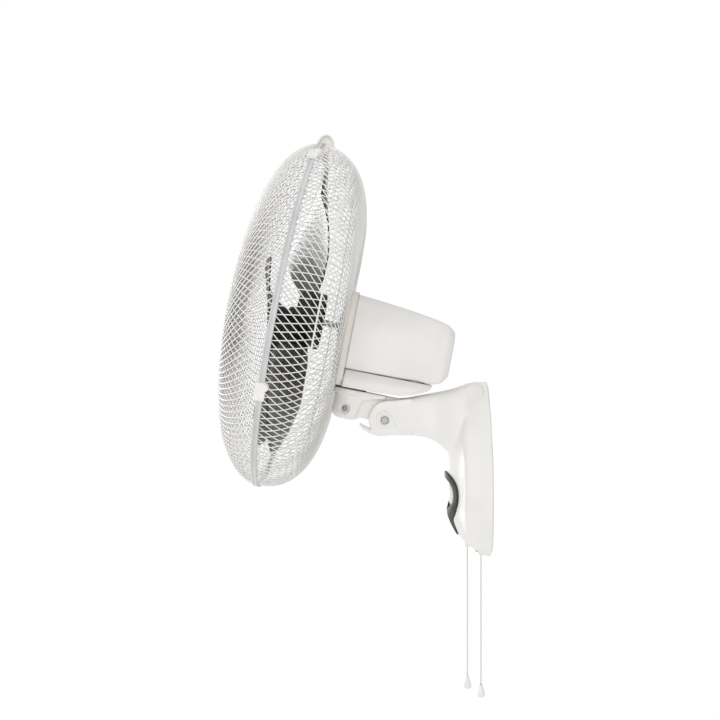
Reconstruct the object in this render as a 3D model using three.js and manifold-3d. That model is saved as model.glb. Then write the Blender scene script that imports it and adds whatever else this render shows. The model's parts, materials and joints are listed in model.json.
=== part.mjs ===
// Wall mounted fan: a caged head that tilts and swings on a neck, carried by an arm that is moulded in
// one piece with the wall box. Millimetres, +Z up. The wall is the plane y = 0, the fan faces -Y, and
// the origin is the middle of the wall plate's back face.
import * as THREE from "three";
import { mergeVertices } from "three/addons/utils/BufferGeometryUtils.js";
import Module from "manifold-3d";

const wasm = await Module();
wasm.setup();

// ---- clearances and smoothness --------------------------------------------------------------------
const FIT = 0.3; // gap between two pieces that seat on each other
const ROUND = 20; // sides of an ordinary round piece
const SMALL = 10; // sides of a screw or a pin
const RIM = 36; // sides of everything that follows the guard's rim

// ---- tilt hinge and head placement ----------------------------------------------------------------
const HINGE_Y = -136; // tilt hinge, in front of the wall
const HINGE_Z = 62; // tilt hinge, above the origin
const REST_TILT = THREE.MathUtils.degToRad(11); // the head looks up by this much
const NECK_REACH = 51.1; // swivel axis to the tilt hinge, along the motor axis
const HEAD_HEIGHT = 109.8; // motor axis above the tilt hinge

// ---- head: everything below is in the head's own frame, +Y to the rear along the motor axis --------
const FAN_PLANE = -93.5; // the rim's middle plane, in front of the swivel axis
const GUARD_RADIUS = 224.2; // middle of the rim wires
const RIM_WIRE = 1.1; // radius of the rim wires
const RIM_WIRE_OFFSET = 1.35; // each rim wire's distance from the rim's middle plane
const FRONT_DEPTH = 73; // front guard's centre, in front of the rim
const REAR_DEPTH = 76; // rear guard's bulge, behind the rim
const REAR_DISH = 7.6; // the rear guard's centre is sunk by this much, in front of the neck
const DISH_INNER = 88;
const DISH_OUTER = 130;
const MESH_WIRE = 1.8; // thickness of a mesh wire
const STEEP_WIRES = 20; // wires of the family that swirls strongly
const SHALLOW_WIRES = 8; // wires of the family that crosses them
const STEEP_SWIRL = THREE.MathUtils.degToRad(46);
const SHALLOW_SWIRL = THREE.MathUtils.degToRad(21);
const FRONT_RING_RADIUS = 45; // front guard's centre ring
const REAR_DISC_RADIUS = 52; // rear guard's centre disc
const SHEET = 1.6; // thickness of the rear guard's centre disc
const SHOULDER_RADIUS = GUARD_RADIUS - 19.2; // support ring on the rear guard's shoulder, inside the rim
const BAND_WIDTH = 7; // rim band, along the motor axis
const BAND_WALL = 0.8;
const BAND_LIP = 0.9; // how far the band's lips reach over the rim wires
const CLIP_ANGLES = [-24, 54, 126, 204]; // clips round the rim, degrees from +X
const CLIP_LENGTH = 21; // along the rim
const CLIP_WIDTH = 14; // across the rim
const CLIP_WALL = 3;
const HANDLE_LENGTH = 25;
const HANDLE_HEIGHT = 17;
const HANDLE_WIDTH = 16;
const HANDLE_BAR = 3;
const HANDLE_WEB = 2.4; // the wall that closes the arch

const BLADE_COUNT = 3;
const BLADE_RADIUS = 200;
const BLADE_SPREAD = THREE.MathUtils.degToRad(88); // angle that a blade covers
const BLADE_FIRST = THREE.MathUtils.degToRad(-26); // middle of the first blade
const BLADE_WALL = 2;
const HUB_RADIUS = 37;
const HUB_FRONT = 5; // hub's front face, behind the rim's middle plane
const HUB_LENGTH = 35;
const HUB_WALL = 3;
const SPINNER_RADIUS = 15;
const SPINNER_LENGTH = 12.5;
const SHAFT_RADIUS = 4;
const SHAFT_REAR = 51;
const PIN_RADIUS = 1.5;

const HOUSING_HALF_WIDTH = 52; // motor housing at its front
const HOUSING_REAR_HALF_WIDTH = 44;
const HOUSING_TOP = 48.2;
const HOUSING_TOP_REAR = 30;
const HOUSING_MIDDLE = -4.5; // height of the widest line
const HOUSING_STEP = -54.2; // where the housing meets the skirt
const HOUSING_REAR = 120;
const HOUSING_SEAM = -12; // flange and rear cover meet here
const HOUSING_WALL = 2.2;
const FLANGE_FRONT = -22;
const FLANGE_WALL = 3;
const SKIRT_BOTTOM = -76.6; // the flange ends level with it
const SKIRT_HALF_WIDTH = 44;
const SKIRT_REAR = 104;
const SKIRT_WALL = 2.5;

const STATOR_RADIUS = 34;
const STATOR_BORE = 17.3;
const STATOR_FRONT = 2;
const STATOR_REAR = 24;
const WINDING_RADIUS = 29.5;
const WINDING_LENGTH = 9.5;
const POST_RADIUS = 1.7;
const POST_CIRCLE = 31.9;
const BEARING_RADIUS = 9;
const BOSS_RADIUS = 13.7; // flange boss that carries the guard and its nut
const BOSS_LENGTH = 10;
const NUT_RADIUS = 21;
const NUT_LENGTH = 6;
const REAR_BRACKET_FRONT = 47;

const SPIGOT_RADIUS = 9.5;
const SPIGOT_BORE = 5;
const SPIGOT_TOP = -40;
const SPIGOT_BOTTOM = -112;
const COLLAR_TOP = -79.4;
const COLLAR_RADIUS = 23;
const WASHER_RADIUS = 21;
const NECK_RADIUS = 19;
const NECK_BOTTOM = -119;
const ANCHOR_FLOOR = -72.8; // underside of the anchor plate
const ANCHOR_WALL = 2;
const ANCHOR_ARM = 22; // swivel axis to the anchor pin
const ANCHOR_RELIEF = 0.8; // the lever's underside is this much above the ring's
const ANCHOR_END = 3.6; // radius of the lever's round end
const LINK_FLOOR = -68.6;
const LINK_WALL = 2;
const CRANK_FLOOR = -65.8;
const CRANK_WALL = 3;
const CRANK_X = 12; // swing motor beside the middle plane
const CRANK_Y = 52; // swing motor behind the swivel axis
const CRANK_RADIUS = 12.8;
const LINK_PIN_RADIUS = 1.8;
const EYE_TRAVEL = 3.8; // half the slot that the link's eye needs
const TRAY_FLOOR = -45.7;
const TRAY_WALL = 2.5;
const TRAY_HALF_WIDTH = 26;
const TRAY_REAR = 78;
const SWING_MOTOR_RADIUS = 24;

// ---- wall bracket, in the object's frame -----------------------------------------------------------
const SHELL_WALL = 2.5;
const PLATE_WALL = 3;
const WALL_GAP = 0.4; // the shell's back edge stops short of the wall
const SLOT_HALF_WIDTH = 12.2; // between the ears
const SLOT_RADIUS = 36.5; // room for the tongue round the hinge
const EAR_HALF_WIDTH = 22;
const PAD_RADIUS = 11.5;
const PAD_HEIGHT = 2.5;
const TONGUE_HALF_WIDTH = 10.6;
const TONGUE_RADIUS = 17;
const BOLT_RADIUS = 3.8;
const HEX_RADIUS = 5.6;
const HEX_HEIGHT = 4;
const TILT_WASHER_RADIUS = 9;
const TILT_WASHER_WALL = 1;

const DIAL_Y = -43.8; // the dial's seat
const DIAL_Z = -36;
const DIAL_LEAN = THREE.MathUtils.degToRad(8); // the dial looks down by this much
const DIAL_RADIUS = 19;
const DIAL_HEIGHT = 9;
const DIAL_STEM = 4;
const SEAT_WALL = 3;
const BEZEL_WALL = 2.2;
const BEZEL_RADIUS = 29;
const BEZEL_TAIL = 55; // dial centre to the tail's tip

const GLAND_RADIUS = 6; // mains inlet, in the box's left side
const GLAND_Y = -15;
const GLAND_Z = -60;
const SHELL_SCREW_Y = -12;

const CORD_RADIUS = 0.9;
const KNOB_RADIUS = 5;
const KNOB_LENGTH = 16;
const CORD_END = -284; // where the knobs begin
const SPEED_CORD = new THREE.Vector2(-14, -24);
const SWING_CORD = new THREE.Vector2(14, -10);
const GROMMET_RADIUS = 3.2;
const GROMMET_BORE = 1.4;

// ---- materials -------------------------------------------------------------------------------------
function finish(color, roughness, metalness = 0, opacity = 1) {
  const transparent = opacity < 1;
  return new THREE.MeshStandardMaterial({ color, roughness, metalness, opacity, transparent, flatShading: true });
}

const housingPlastic = finish(0xf0eeea, 0.35);
const creamPlastic = finish(0xebe6df, 0.4);
const whiteCoat = finish(0xf2f1ec, 0.3);
const greyPlastic = finish(0x50524f, 0.4);
const smokePlastic = finish(0x77756e, 0.15, 0, 0.6);
const blackPlastic = finish(0x0b0c0c, 0.35);
const zincSteel = finish(0xb9bbbd, 0.35, 0.9);
const brightSteel = finish(0xd0d2d4, 0.25, 0.95);
const copper = finish(0xa8603a, 0.45, 0.8);
const brownPlastic = finish(0x6b5a4c, 0.55);
const cordFibre = finish(0xe6e4df, 0.8);

// ---- shape helpers ---------------------------------------------------------------------------------
const X_AXIS = new THREE.Vector3(1, 0, 0);
const Y_AXIS = new THREE.Vector3(0, 1, 0);
const Z_AXIS = new THREE.Vector3(0, 0, 1);

// The geometry with shared vertices, without empty triangles, and with its faces pointing out.
function closed(geometry) {
  geometry.deleteAttribute("normal");
  geometry.deleteAttribute("uv");
  const merged = mergeVertices(geometry, 1e-4);
  const position = merged.getAttribute("position");
  const index = merged.getIndex().array;
  const corners = [new THREE.Vector3(), new THREE.Vector3(), new THREE.Vector3()];
  const kept = [];
  let volume = 0;
  for (let i = 0; i < index.length; i += 3) {
    const [a, b, c] = [index[i], index[i + 1], index[i + 2]];
    if (a === b || b === c || a === c) continue;
    corners.forEach((corner, k) => corner.fromBufferAttribute(position, index[i + k]));
    volume += corners[0].dot(corners[1].clone().cross(corners[2]));
    kept.push(a, b, c);
  }
  if (volume < 0) kept.reverse();
  merged.setIndex(kept);
  return merged;
}

function toSolid(geometry) {
  const ready = closed(geometry.clone());
  return new wasm.Manifold(new wasm.Mesh({
    numProp: 3,
    vertProperties: new Float32Array(ready.getAttribute("position").array),
    triVerts: new Uint32Array(ready.getIndex().array),
  }));
}

function toGeometry(solid) {
  const mesh = solid.getMesh();
  const geometry = new THREE.BufferGeometry();
  geometry.setAttribute("position", new THREE.BufferAttribute(new Float32Array(mesh.vertProperties), 3));
  geometry.setIndex(Array.from(mesh.triVerts));
  return geometry;
}

function join(...geometries) {
  const [first, ...others] = geometries.map(toSolid);
  return toGeometry(others.reduce((whole, other) => whole.add(other), first));
}

function cut(geometry, ...tools) {
  return toGeometry(tools.map(toSolid).reduce((whole, tool) => whole.subtract(tool), toSolid(geometry)));
}

function common(geometry, other) {
  return toGeometry(toSolid(geometry).intersect(toSolid(other)));
}

// Turns shapes drawn in X and Y, with their length along Z, so that their length runs along another axis.
const PRISM_FRAMES = {
  x: new THREE.Matrix4().makeBasis(Y_AXIS, Z_AXIS, X_AXIS),
  y: new THREE.Matrix4().makeBasis(X_AXIS, Z_AXIS, Y_AXIS),
  z: new THREE.Matrix4(),
};

// Turns a lathe, which spins round Y, to another axis.
const LATHE_FRAMES = {
  x: new THREE.Matrix4().makeBasis(Y_AXIS, X_AXIS, Z_AXIS),
  y: new THREE.Matrix4(),
  z: new THREE.Matrix4().makeBasis(X_AXIS, Z_AXIS, Y_AXIS),
};

function outlineOf(points) {
  return new THREE.Shape(points.map(([u, v]) => new THREE.Vector2(u, v)));
}

// A straight length of an outline. The outline is (y, z) along x, (x, z) along y, and (x, y) along z.
function prism(points, from, to, axis) {
  const geometry = new THREE.ExtrudeGeometry(outlineOf(points), { depth: to - from, bevelEnabled: false });
  geometry.translate(0, 0, from);
  return geometry.applyMatrix4(PRISM_FRAMES[axis]);
}

// A turned piece. The profile's points are (radius, place along the axis); it closes on itself.
function turned(profile, axis, sides = ROUND) {
  const points = [...profile, profile[0]].map(([r, h]) => new THREE.Vector2(r, h));
  return new THREE.LatheGeometry(points, sides).applyMatrix4(LATHE_FRAMES[axis]);
}

function rod(radius, from, to, axis, sides = ROUND) {
  return turned([[0, from], [radius, from], [radius, to], [0, to]], axis, sides);
}

function tube(outer, inner, from, to, axis, sides = ROUND) {
  return turned([[inner, from], [outer, from], [outer, to], [inner, to]], axis, sides);
}

function block(x, y, z) {
  const geometry = new THREE.BoxGeometry(x[1] - x[0], y[1] - y[0], z[1] - z[0]);
  return geometry.translate((x[0] + x[1]) / 2, (y[0] + y[1]) / 2, (z[0] + z[1]) / 2);
}

// A skin through rings of points, each ring with as many points, closed by a flat fan at both ends.
function loft(rings) {
  const count = rings[0].length;
  const points = rings.flat();
  const index = [];
  for (let i = 0; i + 1 < rings.length; i += 1) {
    for (let k = 0; k < count; k += 1) {
      const a = i * count + k;
      const b = i * count + ((k + 1) % count);
      index.push(a, b, b + count, a, b + count, a + count);
    }
  }
  for (const end of [0, rings.length - 1]) {
    const middle = new THREE.Vector3();
    rings[end].forEach((point) => middle.addScaledVector(point, 1 / count));
    points.push(middle);
    for (let k = 0; k < count; k += 1) {
      const a = end * count + k;
      const b = end * count + ((k + 1) % count);
      index.push(...(end === 0 ? [points.length - 1, b, a] : [points.length - 1, a, b]));
    }
  }
  const geometry = new THREE.BufferGeometry().setFromPoints(points);
  geometry.setIndex(index);
  return geometry;
}

// Points of a circle's arc, in degrees.
function arc(u, v, radius, from, to, steps) {
  return Array.from({ length: steps + 1 }, (_, i) => {
    const angle = THREE.MathUtils.degToRad(from + ((to - from) * i) / steps);
    return [u + radius * Math.cos(angle), v + radius * Math.sin(angle)];
  });
}

function hexagon(u, v, radius) {
  return arc(u, v, radius, 0, 300, 5);
}

// One side of a superellipse's unit circle.
function swell(value, power) {
  return Math.sign(value) * Math.abs(value) ** (2 / power);
}

function piece(parent, name, geometry, material) {
  const mesh = new THREE.Mesh(closed(geometry), material);
  mesh.name = name;
  parent.add(mesh);
  return mesh;
}

function frame(parent, x, y, z) {
  const group = new THREE.Group();
  group.position.set(x, y, z);
  parent.add(group);
  return group;
}

const fan = new THREE.Group();
const tiltFrame = frame(fan, 0, HINGE_Y, HINGE_Z);
tiltFrame.rotation.x = -REST_TILT;
const headFrame = frame(tiltFrame, 0, -NECK_REACH, HEAD_HEIGHT);
const fanFrame = frame(headFrame, 0, FAN_PLANE, 0);

// ---- guards ----------------------------------------------------------------------------------------
// Each half bulges as depth * (1 - (r / R)^power)^shape; the front half is rounder at the rim.
const FRONT_BULGE = { depth: FRONT_DEPTH, power: 3, shape: 0.54, inner: FRONT_RING_RADIUS, side: -1, dish: 0 };
const REAR_BULGE = { depth: REAR_DEPTH, power: 4, shape: 0.45, inner: REAR_DISC_RADIUS - 3, side: 1, dish: REAR_DISH };
const MESH_START = GUARD_RADIUS - RIM_WIRE + 0.2; // the mesh wires start just inside the rim wire
const MESH_STEPS = 5;

function bulgeAt(bulge, radius) {
  const share = Math.min(1, radius / MESH_START);
  const sunk = bulge.dish * (1 - THREE.MathUtils.smoothstep(radius, DISH_INNER, DISH_OUTER));
  const depth = bulge.depth * (1 - share ** bulge.power) ** bulge.shape + RIM_WIRE_OFFSET * share - sunk;
  return bulge.side * depth;
}

// Radii, evenly spaced along the bulge's own curve, from the rim in, with their distance along it.
function bulgeStations(bulge, steps) {
  const fine = 200;
  const walk = [{ radius: MESH_START, run: 0 }];
  for (let i = 1; i <= fine; i += 1) {
    const angle = (i / fine) * (Math.PI / 2);
    const radius = bulge.inner + (MESH_START - bulge.inner) * Math.cos(angle);
    const last = walk[walk.length - 1];
    const climb = bulgeAt(bulge, radius) - bulgeAt(bulge, last.radius);
    walk.push({ radius, run: last.run + Math.hypot(radius - last.radius, climb) });
  }
  const length = walk[fine].run;
  return Array.from({ length: steps + 1 }, (_, i) => {
    const wanted = (length * i) / steps;
    return walk.find((place) => place.run >= wanted - 1e-9) ?? walk[fine];
  });
}

function meshWire(bulge, start, swirl) {
  const points = bulgeStations(bulge, MESH_STEPS).map(({ radius, run }) => {
    const angle = start + swirl * (run / GUARD_RADIUS);
    return new THREE.Vector3(radius * Math.cos(angle), bulgeAt(bulge, radius), radius * Math.sin(angle));
  });
  const half = MESH_WIRE * 0.6;
  const section = outlineOf(arc(0, 0, half, 0, 240, 2));
  const extrudePath = new THREE.CatmullRomCurve3(points);
  return new THREE.ExtrudeGeometry(section, { steps: MESH_STEPS, bevelEnabled: false, extrudePath });
}

function meshWires(bulge) {
  const family = (count, swirl) => Array.from({ length: count }, (_, i) => {
    return meshWire(bulge, (2 * Math.PI * i) / count, swirl);
  });
  const steep = family(STEEP_WIRES, -Math.tan(STEEP_SWIRL));
  const shallow = family(SHALLOW_WIRES, Math.tan(SHALLOW_SWIRL));
  return [...steep, ...shallow];
}

function ringWire(radius, middle, half) {
  return turned([[radius - half, middle], [radius, middle - half], [radius + half, middle],
    [radius, middle + half]], "y", RIM);
}

function rimWire(side) {
  const middle = side * RIM_WIRE_OFFSET;
  return tube(GUARD_RADIUS + RIM_WIRE, GUARD_RADIUS - RIM_WIRE, middle - RIM_WIRE, middle + RIM_WIRE, "y", RIM);
}

const FRONT_RING_FACE = bulgeAt(FRONT_BULGE, FRONT_RING_RADIUS);
const RING_HALF = 2;

function frontGuard() {
  const centre = tube(FRONT_RING_RADIUS + RING_HALF, FRONT_RING_RADIUS - RING_HALF, FRONT_RING_FACE - 1.2,
    FRONT_RING_FACE + 1.2, "y", RIM);
  return join(rimWire(-1), centre, ...meshWires(FRONT_BULGE));
}

const REAR_DISC_FRONT = FLANGE_FRONT - FAN_PLANE - FIT - SHEET;

function rearGuard() {
  const disc = tube(REAR_DISC_RADIUS, BOSS_RADIUS + FIT, REAR_DISC_FRONT, REAR_DISC_FRONT + SHEET, "y", RIM);
  const shoulder = ringWire(SHOULDER_RADIUS, bulgeAt(REAR_BULGE, SHOULDER_RADIUS), RIM_WIRE);
  return join(rimWire(1), disc, shoulder, ...meshWires(REAR_BULGE));
}

piece(fanFrame, "front_guard", frontGuard(), whiteCoat);
piece(fanFrame, "rear_guard", rearGuard(), whiteCoat);

// The badge's rear step fits inside the front guard's centre ring.
const BADGE_SEAT = FRONT_RING_FACE - 1.2 - FIT;
piece(fanFrame, "guard_badge", turned([
  [0, BADGE_SEAT + 3],
  [FRONT_RING_RADIUS - RING_HALF - FIT, BADGE_SEAT + 3],
  [FRONT_RING_RADIUS - RING_HALF - FIT, BADGE_SEAT],
  [FRONT_RING_RADIUS + RING_HALF, BADGE_SEAT],
  [FRONT_RING_RADIUS + RING_HALF - 1, BADGE_SEAT - 2],
  [0, BADGE_SEAT - 3],
], "y"), whiteCoat);

// ---- rim band, clips and handle --------------------------------------------------------------------
const BAND_INNER = GUARD_RADIUS + RIM_WIRE + FIT;
const BAND_OUTER = BAND_INNER + BAND_WALL;
const BAND_HALF = BAND_WIDTH / 2;
const LIP_INNER = BAND_INNER - BAND_LIP;

piece(fanFrame, "rim_band", turned([
  [LIP_INNER, -BAND_HALF],
  [BAND_OUTER, -BAND_HALF],
  [BAND_OUTER, BAND_HALF],
  [LIP_INNER, BAND_HALF],
  [LIP_INNER, BAND_HALF - BAND_WALL],
  [BAND_INNER, BAND_HALF - BAND_WALL],
  [BAND_INNER, BAND_WALL - BAND_HALF],
  [LIP_INNER, BAND_WALL - BAND_HALF],
], "y", RIM), whiteCoat);

// A saddle over the band with two short cheeks, drawn across the rim as (outwards, along the motor axis).
function guardClip() {
  const half = CLIP_WIDTH / 2;
  const cheek = BAND_HALF + FIT;
  const under = BAND_OUTER + FIT;
  const over = under + CLIP_WALL;
  const low = LIP_INNER + 0.6;
  const section = [[low, -half], [over - 1, -half], [over, 1 - half], [over, half - 1], [over - 1, half],
    [low, half], [low, cheek], [under, cheek], [under, -cheek], [low, -cheek]];
  const saddle = prism(section, -CLIP_LENGTH / 2, CLIP_LENGTH / 2, "z");
  const knob = rod(4, over - 1, over + 2.5, "x", SMALL).translate(0, half - 4.5, CLIP_LENGTH / 2 - 4.5);
  return join(saddle, knob);
}

CLIP_ANGLES.forEach((degrees, i) => {
  const clip = piece(fanFrame, `guard_clip_${i + 1}`, guardClip(), whiteCoat);
  clip.rotation.y = -THREE.MathUtils.degToRad(degrees);
});

// The handle arches along the motor axis at the top of the rim.
function topHandle() {
  const half = HANDLE_LENGTH / 2;
  const base = BAND_OUTER + FIT;
  const steps = 10;
  const arch = (inset) => Array.from({ length: steps + 1 }, (_, i) => {
    const angle = (Math.PI * i) / steps;
    return [(half - inset) * Math.cos(angle), base + (HANDLE_HEIGHT - inset) * Math.sin(angle)];
  });
  const outer = prism([...arch(0)], -HANDLE_WIDTH / 2, HANDLE_WIDTH / 2, "x");
  const gap = prism([...arch(HANDLE_BAR)], -HANDLE_WIDTH, HANDLE_WIDTH, "x").translate(0, 0, HANDLE_BAR / 2);
  const web = prism([...arch(HANDLE_BAR / 2)], -HANDLE_WEB / 2, HANDLE_WEB / 2, "x");
  return join(cut(outer, gap), web);
}

piece(fanFrame, "top_handle", topHandle(), whiteCoat);

// ---- impeller, shaft and rotor ---------------------------------------------------------------------
// A blade's leading edge lies to the rear and its trailing edge to the front; both curve with the radius.
const LEADING_EDGE = { hub: 26, middle: 35, tip: 16 };
const TRAILING_EDGE = { hub: 4, middle: -28, tip: -20 };
const BLADE_ROOT = HUB_RADIUS - HUB_WALL / 2;

function edgeAt(edge, share) {
  const bend = 2 * (edge.hub + edge.tip - 2 * edge.middle);
  const slope = edge.tip - edge.hub - bend;
  return edge.hub + slope * share + bend * share * share;
}

function blade(middleAngle) {
  const spanSteps = 6;
  const chordSteps = 5;
  const rings = [];
  for (let j = 0; j <= chordSteps; j += 1) {
    const chord = j / chordSteps;
    const corner = 1 - 0.07 * Math.abs(2 * chord - 1) ** 4;
    const face = [];
    const back = [];
    for (let i = 0; i <= spanSteps; i += 1) {
      const share = i / spanSteps;
      const radius = BLADE_ROOT + (BLADE_RADIUS * corner - BLADE_ROOT) * share;
      const spread = BLADE_SPREAD * (0.72 + 0.28 * Math.min(1, 2 * share));
      const angle = middleAngle + spread * (chord - 0.5);
      const bow = 5 * Math.sin(Math.PI * chord) * share;
      const along = edgeAt(LEADING_EDGE, share) * (1 - chord) + edgeAt(TRAILING_EDGE, share) * chord + bow;
      const x = radius * Math.cos(angle);
      const z = radius * Math.sin(angle);
      face.push(new THREE.Vector3(x, along - BLADE_WALL / 2, z));
      back.unshift(new THREE.Vector3(x, along + BLADE_WALL / 2, z));
    }
    rings.push([...face, ...back]);
  }
  return strip(rings);
}

// A loft whose two end rings are thin strips: each is closed from its own first half to its second.
function strip(rings) {
  const count = rings[0].length;
  const half = count / 2;
  const index = [];
  for (let i = 0; i + 1 < rings.length; i += 1) {
    for (let k = 0; k < count; k += 1) {
      const a = i * count + k;
      const b = i * count + ((k + 1) % count);
      index.push(a, b, b + count, a, b + count, a + count);
    }
  }
  for (const [start, order] of [[0, 1], [(rings.length - 1) * count, -1]]) {
    for (let k = 0; k + 1 < half; k += 1) {
      const corners = [start + k, start + count - 1 - k, start + count - 2 - k, start + k + 1];
      const [a, b, c, d] = order > 0 ? corners : [...corners].reverse();
      index.push(a, b, c, a, c, d);
    }
  }
  const geometry = new THREE.BufferGeometry().setFromPoints(rings.flat());
  geometry.setIndex(index);
  return geometry;
}

function hub() {
  const rear = HUB_FRONT + HUB_LENGTH;
  const cup = turned([
    [SHAFT_RADIUS + FIT, HUB_FRONT],
    [HUB_RADIUS - 3, HUB_FRONT],
    [HUB_RADIUS, HUB_FRONT + 3],
    [HUB_RADIUS, rear],
    [HUB_RADIUS - HUB_WALL, rear],
    [HUB_RADIUS - HUB_WALL, HUB_FRONT + 2 * HUB_WALL],
    [10, HUB_FRONT + HUB_WALL],
    [10, rear],
    [SHAFT_RADIUS + FIT, rear],
  ], "y");
  const slot = block([-HUB_RADIUS / 2, HUB_RADIUS / 2], [rear - 5, rear + 1], [-PIN_RADIUS - FIT, PIN_RADIUS + FIT]);
  const blades = Array.from({ length: BLADE_COUNT }, (_, i) => {
    return blade(BLADE_FIRST + (2 * Math.PI * i) / BLADE_COUNT);
  });
  return cut(join(cup, ...blades), slot);
}

const SHAFT_FRONT = FAN_PLANE - 2;
piece(fanFrame, "impeller", hub(), smokePlastic);
piece(fanFrame, "spinner", turned([
  [0, HUB_FRONT - FIT - SPINNER_LENGTH],
  [SPINNER_RADIUS * 0.6, HUB_FRONT - FIT - SPINNER_LENGTH + 1.5],
  [SPINNER_RADIUS, HUB_FRONT - FIT - SPINNER_LENGTH + 6],
  [SPINNER_RADIUS, HUB_FRONT - FIT],
  [SHAFT_RADIUS + FIT, HUB_FRONT - FIT],
  [SHAFT_RADIUS + FIT, SHAFT_FRONT - FAN_PLANE - FIT],
  [0, SHAFT_FRONT - FAN_PLANE - FIT],
], "y"), blackPlastic);

const PIN_Y = FAN_PLANE + HUB_FRONT + HUB_LENGTH - 5 + PIN_RADIUS + FIT;
const pinHole = rod(PIN_RADIUS + FIT, -SHAFT_RADIUS - 1, SHAFT_RADIUS + 1, "x", SMALL).translate(0, PIN_Y, 0);
piece(headFrame, "rotor_shaft", cut(rod(SHAFT_RADIUS, SHAFT_FRONT, SHAFT_REAR, "y"), pinHole), brightSteel);
piece(headFrame, "drive_pin", rod(PIN_RADIUS, -9, 9, "x", SMALL).translate(0, PIN_Y, 0), brightSteel);
piece(headFrame, "rotor_core",
  tube(STATOR_BORE - 0.8, SHAFT_RADIUS + FIT, STATOR_FRONT, STATOR_REAR, "y"), zincSteel);

// ---- motor -----------------------------------------------------------------------------------------
piece(headFrame, "stator_core", tube(STATOR_RADIUS, STATOR_BORE, STATOR_FRONT, STATOR_REAR, "y"), zincSteel);
piece(headFrame, "winding_front", tube(WINDING_RADIUS, STATOR_BORE + 2, STATOR_FRONT - FIT - WINDING_LENGTH,
  STATOR_FRONT - FIT, "y"), copper);
piece(headFrame, "winding_rear", tube(WINDING_RADIUS, STATOR_BORE + 2, STATOR_REAR + FIT,
  STATOR_REAR + FIT + WINDING_LENGTH, "y"), copper);

function postAt(degrees, from, to) {
  const angle = THREE.MathUtils.degToRad(degrees);
  return rod(POST_RADIUS, from, to, "y", SMALL)
    .translate(POST_CIRCLE * Math.cos(angle), 0, POST_CIRCLE * Math.sin(angle));
}

const BEARING_LENGTH = 8;
const BOSS_FRONT = FLANGE_FRONT - BOSS_LENGTH;
piece(headFrame, "front_bearing", tube(BEARING_RADIUS, SHAFT_RADIUS + FIT, BOSS_FRONT + 1,
  BOSS_FRONT + 1 + BEARING_LENGTH, "y"), brightSteel);

// The flange and the rear cover share one outline: round above, upright and square below.
function housingRing(along, halfWidth, top, bottom, squareness, inset) {
  return Array.from({ length: ROUND }, (_, i) => {
    const angle = (2 * Math.PI * i) / ROUND;
    const below = angle > Math.PI;
    const power = below ? squareness : 2.2;
    const height = below ? HOUSING_MIDDLE - bottom : top - HOUSING_MIDDLE;
    const x = (halfWidth - inset) * swell(Math.cos(angle), power);
    return new THREE.Vector3(x, along, HOUSING_MIDDLE + (height - inset) * swell(Math.sin(angle), power));
  });
}

function flangeBody(from, to, inset) {
  const ring = (along) => housingRing(along, HOUSING_HALF_WIDTH, HOUSING_TOP, SKIRT_BOTTOM, 4.5, inset);
  return loft([ring(from), ring(to)]);
}

function motorFlange() {
  const rear = HOUSING_SEAM - FIT;
  const back = FLANGE_FRONT + FLANGE_WALL;
  const pan = cut(flangeBody(FLANGE_FRONT, rear, 0), flangeBody(back, rear + 1, FLANGE_WALL));
  const boss = rod(BOSS_RADIUS, BOSS_FRONT, back + 3, "y");
  const posts = [45, 135, 225, 315].map((degrees) => postAt(degrees, back - 1, STATOR_FRONT - FIT));
  const seat = rod(BEARING_RADIUS + FIT, BOSS_FRONT - 1, BOSS_FRONT + 1 + BEARING_LENGTH + FIT, "y");
  const bore = rod(SHAFT_RADIUS + 1.5, BOSS_FRONT, back + 4, "y");
  return cut(join(pan, boss, ...posts), seat, bore);
}

piece(headFrame, "motor_flange", motorFlange(), creamPlastic);
piece(headFrame, "guard_nut", tube(NUT_RADIUS, BOSS_RADIUS + FIT, FLANGE_FRONT - 2 * FIT - SHEET - NUT_LENGTH,
  FLANGE_FRONT - 2 * FIT - SHEET, "y"), housingPlastic);

// Sections of the rear cover from the seam to its rounded rear end, in shares of its length and size.
const COVER_SECTIONS = [[0, 1, 1], [0.33, 0.99, 1], [0.66, 0.97, 1], [0.86, 0.93, 0.97], [0.95, 0.86, 0.88],
  [1, 0.7, 0.72]];

function coverBody(inset) {
  const length = HOUSING_REAR - HOUSING_SEAM - 2 * inset;
  return loft(COVER_SECTIONS.map(([share, size, drop]) => {
    const along = HOUSING_SEAM + (inset > 0 ? -1 : 0) + share * (length + (inset > 0 ? 1 : 0));
    const taper = share * share * 0.35 + share * 0.65;
    const halfWidth = HOUSING_HALF_WIDTH + (HOUSING_REAR_HALF_WIDTH - HOUSING_HALF_WIDTH) * taper;
    const top = HOUSING_TOP - 3 + (HOUSING_TOP_REAR - HOUSING_TOP + 3) * taper;
    const bottom = HOUSING_MIDDLE + (HOUSING_STEP - HOUSING_MIDDLE) * drop;
    return housingRing(along, halfWidth * size, top * size, bottom, 14, inset);
  }));
}

function rearCover() {
  const opening = block([4 - SKIRT_HALF_WIDTH, SKIRT_HALF_WIDTH - 4], [HOUSING_SEAM - 1, SKIRT_REAR - 12],
    [HOUSING_STEP - 5, HOUSING_STEP + 12]);
  return cut(coverBody(0), coverBody(HOUSING_WALL), opening);
}

piece(headFrame, "rear_cover", rearCover(), housingPlastic);

// The skirt is a tray under the cover. Its floor is level over the collar, then rises to clear the arm.
const SKIRT_TOP = HOUSING_STEP - FIT;
const SKIRT_FRONT = HOUSING_SEAM;
const SKIRT_FLOOR = [[SKIRT_FRONT, SKIRT_BOTTOM], [24, SKIRT_BOTTOM], [64, SKIRT_BOTTOM + 2.3],
  [80, SKIRT_BOTTOM + 6.1], [98, SKIRT_BOTTOM + 14], [SKIRT_REAR, SKIRT_BOTTOM + 19]];

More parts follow.
